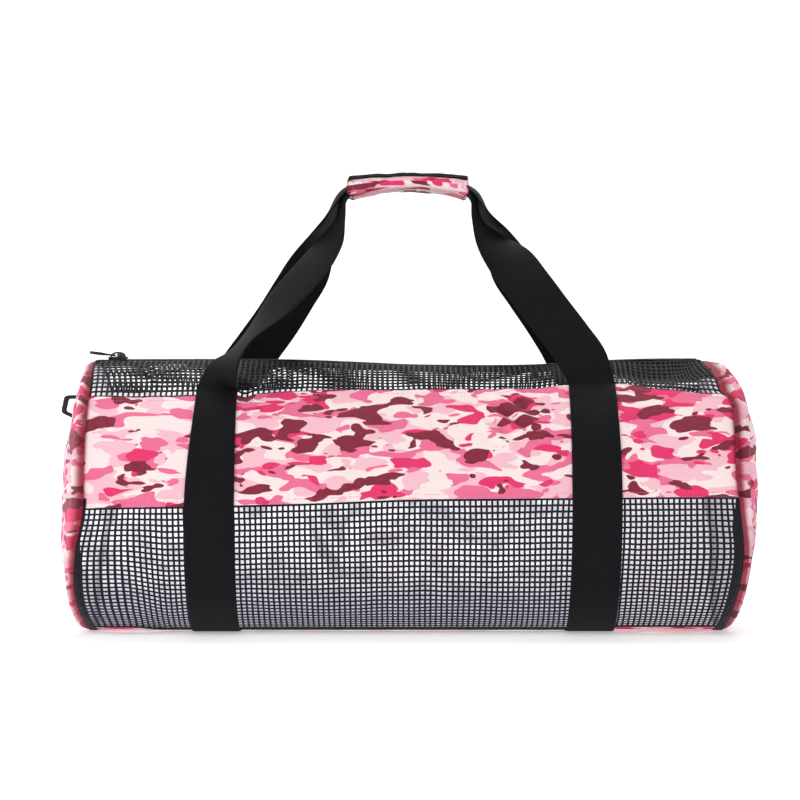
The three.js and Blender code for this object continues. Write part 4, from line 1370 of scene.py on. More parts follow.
@dataclass
class EndPanels:
    """The two domed end panels of camouflage cloth.

    Attributes:
        barrel: The barrel that they close.
        forms: For each end its side, bulge, and how full it stands at the top and at the foot.
        gathers: The creases gathered into the end seams: angle and spread in degrees, depth as a share of the bulge.
        wall: The cloth's thickness.
        roll: How far the cloth rolls up beside the seam.
        left_print_and_shade: The left panel's print, washing out and painted shade.
        right_print_and_shade: The right panel's.
        sharp_crease: The widest crease, in degrees, that gets painted shade in its depth.
    """

    barrel: Barrel
    forms: dict = field(default_factory=END_FORMS.copy)
    gathers: dict = field(default_factory=END_GATHERS.copy)
    wall: float = 1.3
    roll: float = 2.0
    left_print_and_shade: EndPrintAndShade = EndPrintAndShade(71.0, 0.24, 0.0, 0.02)
    right_print_and_shade: EndPrintAndShade = EndPrintAndShade(90.0, 0.05, 0.6, 0.013)
    sharp_crease: float = 2.0

    def gathered(self, end: End, turned: Array, share: Array, widest: float = 90.0) -> Array:
        """How far creases dent an end panel: bells round it, times sin(pi share^2) on the way to the seam.

        Args:
            end: Which panel.
            turned: The angle round it, in degrees from -180 to 180.
            share: The share of the way from its middle to its seam.
            widest: The widest spread of a crease that counts, in degrees.

        Returns:
            The dent as a share of the bulge, negative inwards.
        """
        return sum(
            depth * np.exp(-(((turned - at) / spread) ** 2)) * np.sin(math.pi * share**2)
            for at, spread, depth in self.gathers[end]
            if spread <= widest
        )

    def point(self, end: End, angle: Array, share: Array, lift: Array | float) -> Array:
        """A point of an end panel at an angle round it and a share of the way from its middle to its seam.

        x runs from the seam to the crest by sqrt(1 - share^power), less the creases, plus the roll at the seam.
        y and z run straight from the middle to the seam. The inner face's rim tucks a little under the barrel.

        Args:
            end: Which panel.
            angle: The angle round it.
            share: The share of the way.
            lift: The height off its outer face.

        Returns:
            The points, with X, Y and Z last.
        """
        side, bulge, top_power, foot_power = self.forms[end]
        barrel = self.barrel
        power = lerp(foot_power, top_power, (1 + np.sin(angle)) / 2)
        off = side * (barrel.seam_gap / 2 + 0.2 * np.minimum(lift, 0))
        rim = barrel.point(barrel.seam(end, angle) + off, angle, lift)
        fullness = np.sqrt(np.maximum(0, 1 - share**power))
        turned = np.degrees(np.arctan2(np.sin(angle), np.cos(angle)))
        crease = bulge * self.gathered(end, turned, share)
        around = np.degrees(angle) * 2.5
        soft = Ripple(60, 71 if side < 0 else 72)(around, share * 145) * 0.9 * np.sin(math.pi * share)
        pucker = 0.35 * np.sin(np.degrees(angle) * 1.1 + 2 * np.sin(np.degrees(angle) * 0.13)) * hump(share, 0.93, 0.05)
        rolled = self.roll * hump(share, 0.965, 0.022) - 0.5 * hump(share, 0.915, 0.012)
        crest = side * (barrel.length / 2 + bulge + lift)
        settled = ease(0, 0.012, 1 - share)
        x = lerp(rim[..., 0], crest, fullness) + side * (crease + soft + (pucker + rolled) * settled)
        inward = share * (1 - barrel.groove / barrel.radius * hump(share, 1, 0.018) * ease(-78, -60, turned))
        return np.stack([x, rim[..., 1] * inward, lerp(barrel.middle, rim[..., 2], inward)], -1)

    def build(self) -> None:
        """Makes both end panels, with a welded pole in the middle."""
        for end, wear_and_light in ((End.LEFT, self.left_print_and_shade), (End.RIGHT, self.right_print_and_shade)):
            turn = np.linspace(0, 2 * math.pi, 360, endpoint=False)
            share = np.sin(np.concatenate([np.linspace(0, 0.8, 30), np.linspace(0.8, 1, 27)[1:]]) * math.pi / 2)
            if end is End.LEFT:
                share = share[::-1]
            angle, share = np.meshgrid(turn, share, indexing="ij")
            outer, inner = (self.point(end, angle, share, lift) for lift in (0.0, -self.wall))
            steps = np.linalg.norm(np.diff(outer, axis=1), axis=-1)
            run = np.concatenate([np.zeros((len(turn), 1)), np.cumsum(steps, axis=1)], 1)
            run = run[:, -1:] - run if end is End.LEFT else run
            uv = np.stack([run * np.cos(angle), run * np.sin(angle)], -1) * MM
            uv = np.concatenate([uv, uv[:1]])
            name = f"{end.value}_end_print"
            cloth = CamouflageCloth(name, roughness=0.78, seed=wear_and_light.seed, fade=wear_and_light.fade).make()
            patch = shell(outer, inner, uv, closed=True)
            turned = np.degrees(np.arctan2(np.sin(angle), np.cos(angle)))
            # Painted shade: in the seam's groove, low on the panel towards the seam, and in the sharp creases.
            painted_lower_shade = wear_and_light.painted_lower_shade * ease(0.4, 0.9, share) * (1 - 0.85 * ease(-30, 0, turned))
            painted_crease_shade = -6 * self.gathered(end, turned, share, self.sharp_crease)
            shade = np.exp(-(((1 - share) / wear_and_light.seam) ** 2)) + painted_lower_shade + painted_crease_shade
            patch.sunk = np.tile(np.minimum(1, shade).ravel(), 2)
            make_piece(f"{end.value}_end_cloth", patch, cloth, [f"{end.value}_end_panel"], weld=True)


# The handles


DRAWN = {
    (Face.FRONT, True): (0.17, 4.5), (Face.FRONT, False): (0.05, -1.0),
    (Face.REAR, True): (0.0, 0.0), (Face.REAR, False): (0.0, 0.0),
}
LEGS = {
    (Face.FRONT, End.LEFT): (
        (0.07, 0.07, -0.06, 44, 8, 0), (0.16, 0.155, 0.04, 70, 12, 0), (0.26, 0.265, 0.18, 74, 14, 0),
        (0.42, 0.485, 0.34, 52, 16, 0), (0.58, 0.7, 0.54, 48, 14, 0), (0.74, 0.83, 0.79, 58, 24, -0.08),
        (0.86, 0.895, 0.93, 80, 46, -0.08), (0.965, 0.95, 1, 90, 56, -0.035),
    ),
    (Face.FRONT, End.RIGHT): (
        (0.1, 0.065, 0.04, 8, 4, 0), (0.22, 0.19, 0.14, 14, 6, 0), (0.35, 0.345, 0.27, 14, 6, 0),
        (0.48, 0.497, 0.4, 14, 8, 0), (0.61, 0.65, 0.6, 20, 12, 0), (0.74, 0.8, 0.79, 54, 24, -0.08),
        (0.86, 0.895, 0.93, 80, 46, -0.08), (0.965, 0.95, 1, 90, 56, -0.035),
    ),
    (Face.REAR, End.LEFT): (
        (0.1, 0.13, 0.04, 4, 4, 0), (0.22, 0.27, 0.14, 6, 6, 0), (0.35, 0.42, 0.27, 8, 6, 0),
        (0.48, 0.55, 0.4, 14, 8, 0), (0.61, 0.68, 0.6, 24, 12, 0), (0.74, 0.81, 0.79, 58, 24, 0.1),
        (0.86, 0.895, 0.93, 80, 46, 0.11), (0.965, 0.95, 1, 90, 56, 0.035),
    ),
    (Face.REAR, End.RIGHT): (
        (0.1, 0.075, 0.04, 4, 4, 0), (0.22, 0.18, 0.14, 8, 6, 0), (0.35, 0.32, 0.27, 10, 6, 0),
        (0.48, 0.475, 0.4, 16, 8, 0), (0.61, 0.63, 0.6, 26, 12, 0), (0.74, 0.77, 0.79, 58, 24, 0.1),
        (0.86, 0.895, 0.93, 80, 46, 0.11), (0.965, 0.95, 1, 90, 56, 0.035),
    ),
}


@dataclass
class Handles:
    """The two webbing handles and the wrap that joins them in a hand grip.

    Attributes:
        barrel: The barrel that they are sewn to.
        width: The webbing's width.
        thickness: The webbing's thickness.
        grip_length: The wrap's length.
        grip_top: Floor to the wrap's top.
        grip_width: The wrap's width, front to back.
        grip_heights: The wrap's height at its middle and at its ends.
        grip_droop: How much lower its ends hang than its middle.
        grip_cup: How far the webbing curls in the wrap, in degrees.
        grip_entry: How far in from the wrap's ends the webbing is fully curled.
        arch: The power of the wrap's section above.
        square: The power of its section below.
        drawn: For each face and for the left strap or not, how far the sewn webbing is drawn together at the band's
            top, as a share of the width, and moved along the bag.
        legs: For each face and end, the free leg's stations: rise, lean and back as shares of the way from the band
            to the grip's end, turn and cup in degrees, and apart as a share of the width.
    """

    barrel: Barrel
    width: float = 50.8
    thickness: float = 2.0
    grip_length: float = 126.0
    grip_top: float = 485.0
    grip_width: float = 56.0
    grip_heights: tuple[float, float] = (17.0, 23.5)
    grip_droop: float = 2.5
    grip_cup: float = 58.0
    grip_entry: float = 8.0
    arch: float = 0.77
    square: float = 0.34
    drawn: dict = field(default_factory=DRAWN.copy)
    legs: dict = field(default_factory=LEGS.copy)

    def grip_line(self, x: Array | float) -> tuple[Array, Array]:
        """The height of the wrap's middle line at a distance along the bag, and half the wrap's height there."""
        share = (np.abs(x) / (self.grip_length / 2)) ** 2
        height = lerp(*self.grip_heights, share)
        return self.grip_top - self.grip_droop * share - height / 2, height / 2

    def sewn(self, x: float, turned: float, face: Face, across: Array) -> Array:
        """Rows of points of the webbing's middle, up the barrel from under it to the band's top.

        Args:
            x: The strap's middle line.
            turned: 1 or -1, which way the rows run across.
            face: The face of the bag.
            across: The places across, as shares of the width from -0.5 to 0.5.

        Returns:
            The rows, by places across by 3.
        """
        barrel = self.barrel
        t = np.linspace(0, 1, 46)[:, None]
        drawn, moved = self.drawn[face, x < 0]
        place = x + moved * ease(0.55, 1, t) + turned * across * self.width * (1 - drawn * ease(0.6, 1, t))
        top = barrel.top(barrel.share_of(x + turned * across * self.width))[None]
        half_gap = barrel.seam_gap / 2 / barrel.radius
        under = half_gap - math.pi / 2
        if face is Face.REAR:
            under, top = 1.5 * math.pi - half_gap, math.pi - top
        return barrel.point(place, lerp(under, top, t), barrel.seam_gap + self.thickness / 2)

    def curled(self, centre: Array, along: Array, out: Array, cup: float, across: Array) -> Array:
        """One row of the webbing, curled round its middle line: an arc of the cup's angle, arched out.

        Args:
            centre: The row's middle.
            along: The unit direction of the webbing's length.
            out: The unit direction that its face looks in.
            cup: The arc's angle.
            across: The places across, as shares of the width.

        Returns:
            The row's points.
        """
        side = np.cross(out, along)
        radius = self.width / cup
        angle = across * cup
        rise = radius * (1 - math.cos(cup / 2)) / 2
        wide, high = radius * np.sin(angle), radius * np.cos(angle) - radius + rise
        return centre + side * wide[:, None] + out * high[:, None]

    def leg(self, face: Face, end: End, across: Array) -> Array:
        """The rows of one free leg, from the band to the grip.

        Args:
            face: Which handle.
            end: Which of its legs.
            across: The places across, as shares of the width.

        Returns:
            The rows, one for each station.
        """
        side = -1 if end is End.LEFT else 1
        x = self.barrel.straps[0 if end is End.LEFT else 1]
        lift = self.barrel.seam_gap + self.thickness / 2
        anchor = self.barrel.point(x, self.barrel.top(self.barrel.share_of(x)), lift)
        anchor[1] *= -face.value
        grip_end = side * self.grip_length / 2
        target = np.array((grip_end, 0.0, float(self.grip_line(grip_end)[0])))
        rows = np.array(self.legs[face, end], float)
        centres = lerp(anchor, target, rows[:, [1, 2, 0]])
        path = np.concatenate([anchor[None], centres, target[None]])
        result = []
        for i, (_, _, _, turn, cup, apart) in enumerate(rows):
            along = path[i + 2] - path[i]
            along[1] = 0
            along /= np.linalg.norm(along)
            level = np.array((0.0, face.value, 0.0))
            upper = np.cross(along, level) * (-face.value * side)
            angle = math.radians(turn)
            out = level * math.cos(angle) + upper * math.sin(angle)
            centre = path[i + 1] + out * apart * self.width
            result.append(self.curled(centre, -side * along, out, math.radians(cup), across))
        return np.stack(result)

    def handle(self, face: Face) -> tuple[Array, Array, int]:
        """A handle's middle surface.

        Args:
            face: Which handle.

        Returns:
            Its rows of points, the places across as shares of the width, and how many rows each sewn end has.
        """
        across = np.sin(np.linspace(-math.pi / 2, math.pi / 2, 15)) / 2
        sign = face.value
        cup = math.radians(self.grip_cup)
        nested = sign * (self.thickness + 2 * self.barrel.seam_gap) / 2 / math.cos(cup / 2)
        reach = self.grip_length / 2 - self.grip_entry
        ahead, up = np.array((1.0, 0, 0)), np.array((0, 0, 1.0))
        grip = [
            self.curled(np.array((x, 0, float(self.grip_line(x)[0]) + nested)), ahead, up, cup, across)
            for x in np.linspace(-reach, reach, 9)
        ]
        left, right = self.barrel.straps
        parts = [
            self.sewn(left, sign, face, across),
            self.leg(face, End.LEFT, across),
            np.stack(grip),
            self.leg(face, End.RIGHT, across)[::-1],
            self.sewn(right, -sign, face, across)[::-1],
        ]
        rows = along_curve(np.concatenate(parts), 420)
        return rows, across, int(np.searchsorted(distances(rows[:, 7]), distances(parts[0][:, 7])[-1]))

    def strap(self, face: Face, finishes: dict[str, bpy.types.Material]) -> None:
        """Makes a handle, thinner at its woven edges, and the stitches that hold it to the barrel.

        Args:
            face: Which handle.
            finishes: The finishes by name.
        """
        rows, across, sewn = self.handle(face)
        normal = normals_of(rows)
        plump = self.thickness / 2 * (0.3 + 0.7 * np.sqrt(np.maximum(0, 1 - np.abs(2 * across) ** 10)))[None, :, None]
        uv = stacked(across[None] * self.width, distances(rows[:, 7])[:, None]) * MM
        name = "front" if face is Face.FRONT else "rear"
        patch = shell(rows + normal * plump, rows - normal * plump, uv)
        make_piece(f"{name}_handle", patch, finishes["webbing"], [f"{name}_handle_strap"], sharp=70)
        stitches = []
        ends = (rows[:sewn], normal[:sewn]), (rows[::-1][:sewn], normal[::-1][:sewn])
        for part, out in ends:
            for column in (1, 2, 12, 13):
                inset = 3.2 if column in (1, 13) else 6.6
                side = -1 if column < 7 else 1
                at = side * (0.5 - inset / self.width)
                line = np.array([[np.interp(at, across, row[:, k]) for k in range(3)] for row in part])
                line += out[:, 7] * self.thickness / 2
                stitches.append(thread_row(line[4:], out[4:, 7], 3.6, 2.7, 0.75, 0.55))
            for row in (sewn - 2, sewn - 5):
                line = part[row] + out[row] * self.thickness / 2
                stitches.append(thread_row(line[1:-1], out[row, 1:-1], 2.4, 2.0, 0.75, 0.6))
        make_piece(f"{name}_handle_stitches", Patch.joined(stitches), finishes["black_thread"])

    def wrap_point(self, x: Array, angle: Array, lift: Array | float) -> Array:
        """A point of the grip's wrap: a superellipse, arched above and squarer below, with soft creases.

        Args:
            x: The place along the bag.
            angle: The place round the wrap.
            lift: The height off its outer face.

        Returns:
            The points, with X, Y and Z last.
        """
        middle, half = self.grip_line(x)
        power = np.where(np.sin(angle) > 0, self.arch, self.square)
        crease = 0.55 * Ripple(24, 81, 1.5)(x, angle * 22) + 0.25 * Ripple(9, 83, 1.3)(x, angle * 22)
        crease *= 1 - 0.6 * ease(0.85, 1, np.abs(x) / (self.grip_length / 2))
        wide = self.grip_width / 2 + lift + crease
        y = -wide * bowed(np.cos(angle), power)
        up, under = np.sin(angle), np.maximum(0, -np.sin(angle)) ** 2
        reach = x / (self.grip_length / 2)
        left, right = np.maximum(0, -reach) ** 4, np.maximum(0, reach) ** 4
        skew = left * (3.4 * under - 3.2 * (1 - up**2)) - right * 5.0 * under
        return stacked(x + skew, y, middle + (half + lift + crease) * bowed(up, power))

    def grip(self, finishes: dict[str, bpy.types.Material]) -> None:
        """Makes the wrap, its closing strip with a hemmed flap edge above, and their stitches.

        Args:
            finishes: The finishes by name.
        """
        x = np.linspace(self.grip_length / 2, -self.grip_length / 2, 90)
        turn = np.linspace(0, 2 * math.pi, 97)[:-1]
        angle, place = np.meshgrid(turn, x, indexing="ij")
        outer, inner = self.wrap_point(place, angle, 0.0), self.wrap_point(place, angle, -1.3)
        around = np.concatenate([turn, [2 * math.pi]]) * 25
        uv = stacked(x[None] * MM, around[:, None] * MM)
        cloth = CamouflageCloth("grip_print", roughness=0.78, seed=131.0).make()
        patch = shell(outer, inner, uv, closed=True)
        # Painted shade under the wrap, passed on through sunk; it is also darker in a narrow band at each end.
        ends_dark = 0.7 * np.exp(-((self.grip_length / 2 - np.abs(place)) / 1.6) ** 2)
        patch.sunk = np.tile(np.minimum(1, 0.42 * np.maximum(0, -np.sin(angle)) ** 0.6 + ends_dark).ravel(), 2)
        make_piece("grip_cloth", patch, cloth, ["grip_wrap"])
        end = self.grip_length / 2 - 1
        along = np.linspace(-end, end, 120)
        share = np.linspace(0, 1, 9)
        s, t = np.meshgrid(along, share, indexing="ij")
        wander = 3.0 * np.sin(s / 26 + 1.1) + 1.6 * np.sin(s / 11)
        angle = np.radians(lerp(24 + wander, 60 + 0.6 * wander, t))
        rim = 0.35 * (1 - np.abs(2 * t - 1) ** 6)
        outer = self.wrap_point(s, angle, 1.15 + rim)
        inner = self.wrap_point(s, angle, 0.25)
        uv = np.stack([t * 0.014, s * MM], -1)
        make_piece("grip_hook_strip", shell(outer, inner, uv), finishes["hook"], ["grip_closure_strip"])
        rows = []
        for at in (-end + 5, end - 5):
            line = self.wrap_point(np.full(40, at), np.linspace(-0.35, 0.4, 40), 0.1)
            rows.append(thread_row(line, np.tile((0, -1.0, 0), (40, 1)), 2.8, 2.1, 0.6, 0.5))
        line = self.wrap_point(along, np.radians(70 + 2 * np.sin(along / 20)), 0.1)
        rows.append(thread_row(line, np.tile((0, -0.35, 0.94), (120, 1)), 2.8, 2.1, 0.6, 0.5))
        make_piece("grip_stitches", Patch.joined(rows), finishes["pink_thread"])

    def build(self, finishes: dict[str, bpy.types.Material]) -> None:
        """Makes both handles and the grip."""
        for face in Face:
            self.strap(face, finishes)
        self.grip(finishes)


def thread_row(
    line: Array, normal: Array, spacing: float, length: float, width: float, height: float
) -> Patch:
    """Stitches along a line on a surface.

    Args:
        line: The line's points, n by 3.
        normal: The surface's normal at each of them.
        spacing: From one stitch to the next.
        length: A stitch's length.
        width: The thread's width.
        height: The thread's height, half of it sunk.

    Returns:
        The stitches.
    """
    key = distances(line)
    at = np.arange(spacing / 2, key[-1] - spacing / 2, spacing)
    ends = read_rows(key, line, at - length / 2), read_rows(key, line, at + length / 2)
    along = ends[1] - ends[0]
    along /= np.maximum(np.linalg.norm(along, axis=1, keepdims=True), 1e-9)
    out = read_rows(key, normal, at)
    out -= along * (out * along).sum(1, keepdims=True)
    out /= np.linalg.norm(out, axis=1, keepdims=True)
    return lozenges(read_rows(key, line, at), along, out, length, width, height)


# The zip


@dataclass
class Zip:
    """The crown's zip: two tapes, the coils, the slider and its pull.

    Attributes:
        barrel: The barrel whose crown it closes.
        tape_edge: From the middle line to the tape's inner edge.
        tape_wall: The tape's thickness.
        coil_pitch: From one coil turn to the next on one side.
        slider_place: The slider's middle, along the bag.
        slider_size: The slider's length and width.
        plate: The thickness of each of its plates.
        gap_half: From its middle to a plate's inner face.
        bail: The bail's length and its rise over the plate.
        pull_length: The pull's length.
        pull_widths: The pull's widths at the hinge and at the tip.
        pull_eye: How far the pull's slot runs from the hinge.
        pull_thickness: The pull's thickness.
        hinge_back: From the slider's middle back to the hinge.
        pull_rise: How far the pull's tip stands up, in degrees.
    """

    barrel: Barrel
    tape_edge: float = 3.3
    tape_wall: float = 1.2
    coil_pitch: float = 2.1
    slider_place: float = -311.0
    slider_size: tuple[float, float] = (21.0, 13.0)
    plate: float = 2.2
    gap_half: float = 1.6
    bail: tuple[float, float] = (16.4, 5.4)
    pull_length: float = 27.0
    pull_widths: tuple[float, float] = (8.5, 6.0)
    pull_eye: float = 12.6
    pull_thickness: float = 2.0
    hinge_back: float = 3.6
    pull_rise: float = 7.0

    def crown_point(self, share: Array, y: Array, lift: Array | float) -> Array:
        """A point near the crown by its share of the length and its distance behind the middle line."""
        return self.barrel.skin(share, self.barrel.crown_angle(y), lift, folds=False)

    def tapes(self, finishes: dict[str, bpy.types.Material]) -> None:
        """Makes both tapes, waved a little, and their two rows of stitches each.

        Args:
            finishes: The finishes by name.
        """
        rows = []
        for face, node in ((Face.FRONT, "zip_tape_front"), (Face.REAR, "zip_tape_rear")):
            edges = sorted((face.value * self.tape_edge, face.value * self.barrel.zip_half))
            share, y = np.meshgrid(np.linspace(0, 1, 260), np.linspace(*edges, 8), indexing="ij")
            wave = 0.25 * Ripple(22, 91)(share * self.barrel.length, y)
            outer = self.crown_point(share, y, wave - 0.1)
            inner = self.crown_point(share, y, wave - self.tape_wall)
            uv = np.stack([y * MM, share * self.barrel.length * MM], -1)
            make_piece(node + "_cloth", shell(outer, inner, uv), finishes["tape"], [node])
            for off in (6.4, 13.2):
                share = np.linspace(0.004, 0.996, 400)
                line = self.crown_point(share, face.value * off, 0.12)
                normal = np.tile((0.0, face.value * off / self.barrel.radius, 1.0), (400, 1))
                rows.append(thread_row(line, normal, 3.2, 2.4, 0.7, 0.55))
        make_piece("zip_stitches", Patch.joined(rows), finishes["black_thread"])

    def coils(self, finishes: dict[str, bpy.types.Material]) -> None:
        """Makes the two rows of coil turns, each a plump loop across the chain.

        Args:
            finishes: The finishes by name.
        """
        count = int(628 / self.coil_pitch)
        turns = []
        start = self.slider_place + 5
        for side in (-1, 1):
            x = start + (np.arange(count) + (0.25 if side < 0 else 0.75)) * self.coil_pitch
            centre = self.crown_point(self.barrel.share_of(x), side * 1.05, 0.05)
            centre[:, 0] = x
            centre = centre[x < self.barrel.length / 2 * 0.93]
            along = np.tile((0.0, 1.0, 0.0), (len(centre), 1))
            turns.append(lozenges(centre, along, np.tile((0.0, 0, 1), (len(centre), 1)), 4.6, 1.75, 2.2))
        make_piece("zip_coils", Patch.joined(turns), finishes["coil"], ["zip_chain"], sharp=40)

    def slider_patch(self) -> Patch:
        """The slider's body: two waisted plates joined by a post at the closed end, and the bail."""
        length, width = (s / 2 for s in self.slider_size)
        turn = np.linspace(0, 2 * math.pi, 64, endpoint=False)
        along, across = bowed(np.cos(turn), 0.55), bowed(np.sin(turn), 0.45)
        waist = 1 - 0.12 * np.exp(-(((along - 0.25) / 0.4) ** 2))
        parts = []
        for side in (-1, 1):
            levels = []
            heights = (0, 0.35, 0.75, 0.95, 1.0)
            insets = (0.2, 0.0, 0.0, 0.35, 0.8)
            for height, inset in zip(heights, insets):
                z = side * (self.gap_half + self.plate * height)
                x = (length - inset) * along
                y = (width - inset) * across * waist
                levels.append(np.stack([x, y, np.full_like(x, z)], -1))
            rings = np.stack(levels)
            parts.append(stack_solid(rings if side > 0 else rings[:, ::-1]))
        reach = np.linspace(-length + 3.0, length - 3.0, 5)
        for side in (-1, 1):
            for edge in (-1, 1):
                across_to, up_to = edge * (width - 1.3), side * (self.gap_half - 0.2)
                line = np.stack([reach, np.full(5, across_to), np.full(5, up_to)], -1)
                parts.append(rod(line, np.array((0, 0, 1.0)), 0.6, 0.55))
        post = np.stack([(-length + 2.0, 0.0, -self.gap_half - 0.4), (-length + 2.0, 0.0, self.gap_half + 0.4)])
        path = np.linspace(post[0], post[1], 4)
        parts.append(rod(path, np.array((1.0, 0, 0)), 2.0, 2.0))
        reach, rise = self.bail[0] / 2 - 0.9, self.bail[1] - 0.9
        arc = np.linspace(0, math.pi, 25)
        foot = self.gap_half + self.plate - 0.6
        curve = np.stack([reach * np.cos(arc), 0 * arc, foot + 0.6 + rise * np.sin(arc) ** 0.8], -1)
        curve = np.concatenate([[(reach, 0, foot)], curve, [(-reach, 0, foot)]])
        swing = np.linspace(0, math.pi, 27)
        outward = np.stack([np.cos(swing), 0 * swing, np.sin(swing) + 0.2], -1)
        parts.append(rod(curve, outward, 1.5, 0.9))
        bend = np.linspace(0.12, math.acos(-1.2 / reach), 16)
        web = np.stack([(reach - 0.4) * np.cos(bend), foot + 0.5 + (rise - 0.3) * np.sin(bend) ** 0.8], -1)
        web = np.concatenate([web, [(-1.2, foot), (reach - 0.4, foot)]])[::-1]
        sides = [np.insert(web * (1 - 0.03 * abs(y)), 1, y, axis=1) for y in (-1.25, -1.0, 1.0, 1.25)]
        parts.append(stack_solid(np.stack(sides)))
        return Patch.joined(parts)

    def pull_patch(self) -> Patch:
        """The pull: a tapered tab with a round tip and a slot, its edges rounded.

        Round the tab, each point of the outer outline is joined to one of the slot's, over the top and bottom.
        """
        half, tip = (w / 2 for w in self.pull_widths)
        bar = self.pull_thickness / 2
        slot = 1.95
        turn = np.linspace(math.pi / 2, 1.5 * math.pi, 21)
        round_tip = np.stack([tip - self.pull_length + tip * np.cos(turn), tip * np.sin(turn)], -1)
        outer = np.concatenate(
            [
                towards((bar, 0), (bar, half), 4), towards((bar, half), (-self.pull_eye, half), 10),
                towards((-self.pull_eye, half), round_tip[0], 6), round_tip,
                towards(round_tip[-1], (-self.pull_eye, -half), 6), towards((-self.pull_eye, -half), (bar, -half), 10),
                towards((bar, -half), (bar, 0), 4),
            ]
        )
        eye = -self.pull_eye
        inner = np.concatenate(
            [
                towards((-bar, 0), (-bar, slot), 4), towards((-bar, slot), (eye + 1, slot), 10),
                towards((eye + 1, slot), (eye, slot * 0.7), 6),
                np.stack([np.full(21, eye), np.linspace(slot * 0.7, -slot * 0.7, 21)], -1),
                towards((eye, -slot * 0.7), (eye + 1, -slot), 6), towards((eye + 1, -slot), (-bar, -slot), 10),
                towards((-bar, -slot), (-bar, 0), 4),
            ]
        )
        plate = eyed_plate(outer, inner, self.pull_thickness / 2, 0.5)
        plate.points[:, 2] *= lerp(1.55, 1, ease(-15, -8, plate.points[:, 0]))
        return plate

    def build(self, finishes: dict[str, bpy.types.Material]) -> None:
        """Makes the whole zip.

        Args:
            finishes: The finishes by name.
        """
        self.tapes(finishes)
        self.coils(finishes)
        crown = self.barrel.point(np.array(self.slider_place), np.array(math.pi / 2), -self.tape_wall / 2)
        slider = self.slider_patch()
        slider.points = slider.points + crown
        make_piece("slider_body", slider, finishes["enamel"], ["zip_slider"], sharp=35)
        pull = self.pull_patch()
        rise = math.radians(self.pull_rise)
        cos, sin = math.cos(rise), math.sin(rise)
        turned = pull.points @ np.array(((cos, 0, -sin), (0, 1, 0), (sin, 0, cos)))
        hinge = (-self.hinge_back, 0, self.gap_half + self.plate + self.pull_thickness / 2 + 0.45)
        pull.points = turned + crown + hinge
        make_piece("pull_tab", pull, finishes["enamel"], ["zip_pull"], body="pull", sharp=35)


def eyed_plate(outer: Array, inner: Array, half: float, rounding: float) -> Patch:
    """A flat plate with a hole, its edges rounded: a rounded profile between two outlines that match point by point.

    Args:
        outer: The outer outline, n by 2, anticlockwise seen from +Z.
        inner: The hole's outline, n by 2.
        half: Half the plate's thickness.
        rounding: The edges' radius.

    Returns:
        The plate, flat in X and Y.
    """
    way = inner - outer
    span = np.linalg.norm(way, axis=1, keepdims=True)
    way = way / span
    arc = np.linspace(0, math.pi / 2, 5)
    quarter = np.stack([rounding * (1 - np.cos(arc)), half - rounding * (1 - np.sin(arc))], -1)
    rings = []
    for off, z in quarter:
        rings.append((outer + way * off, z))
    for off, z in quarter[::-1]:
        rings.append((inner - way * off, z))
    for off, z in quarter:
        rings.append((inner - way * off, -z))
    for off, z in quarter[::-1]:
        rings.append((outer + way * off, -z))
    points = np.stack([np.column_stack([flat, np.full(len(flat), z)]) for flat, z in rings])
    return loop_solid(points)


# The ring


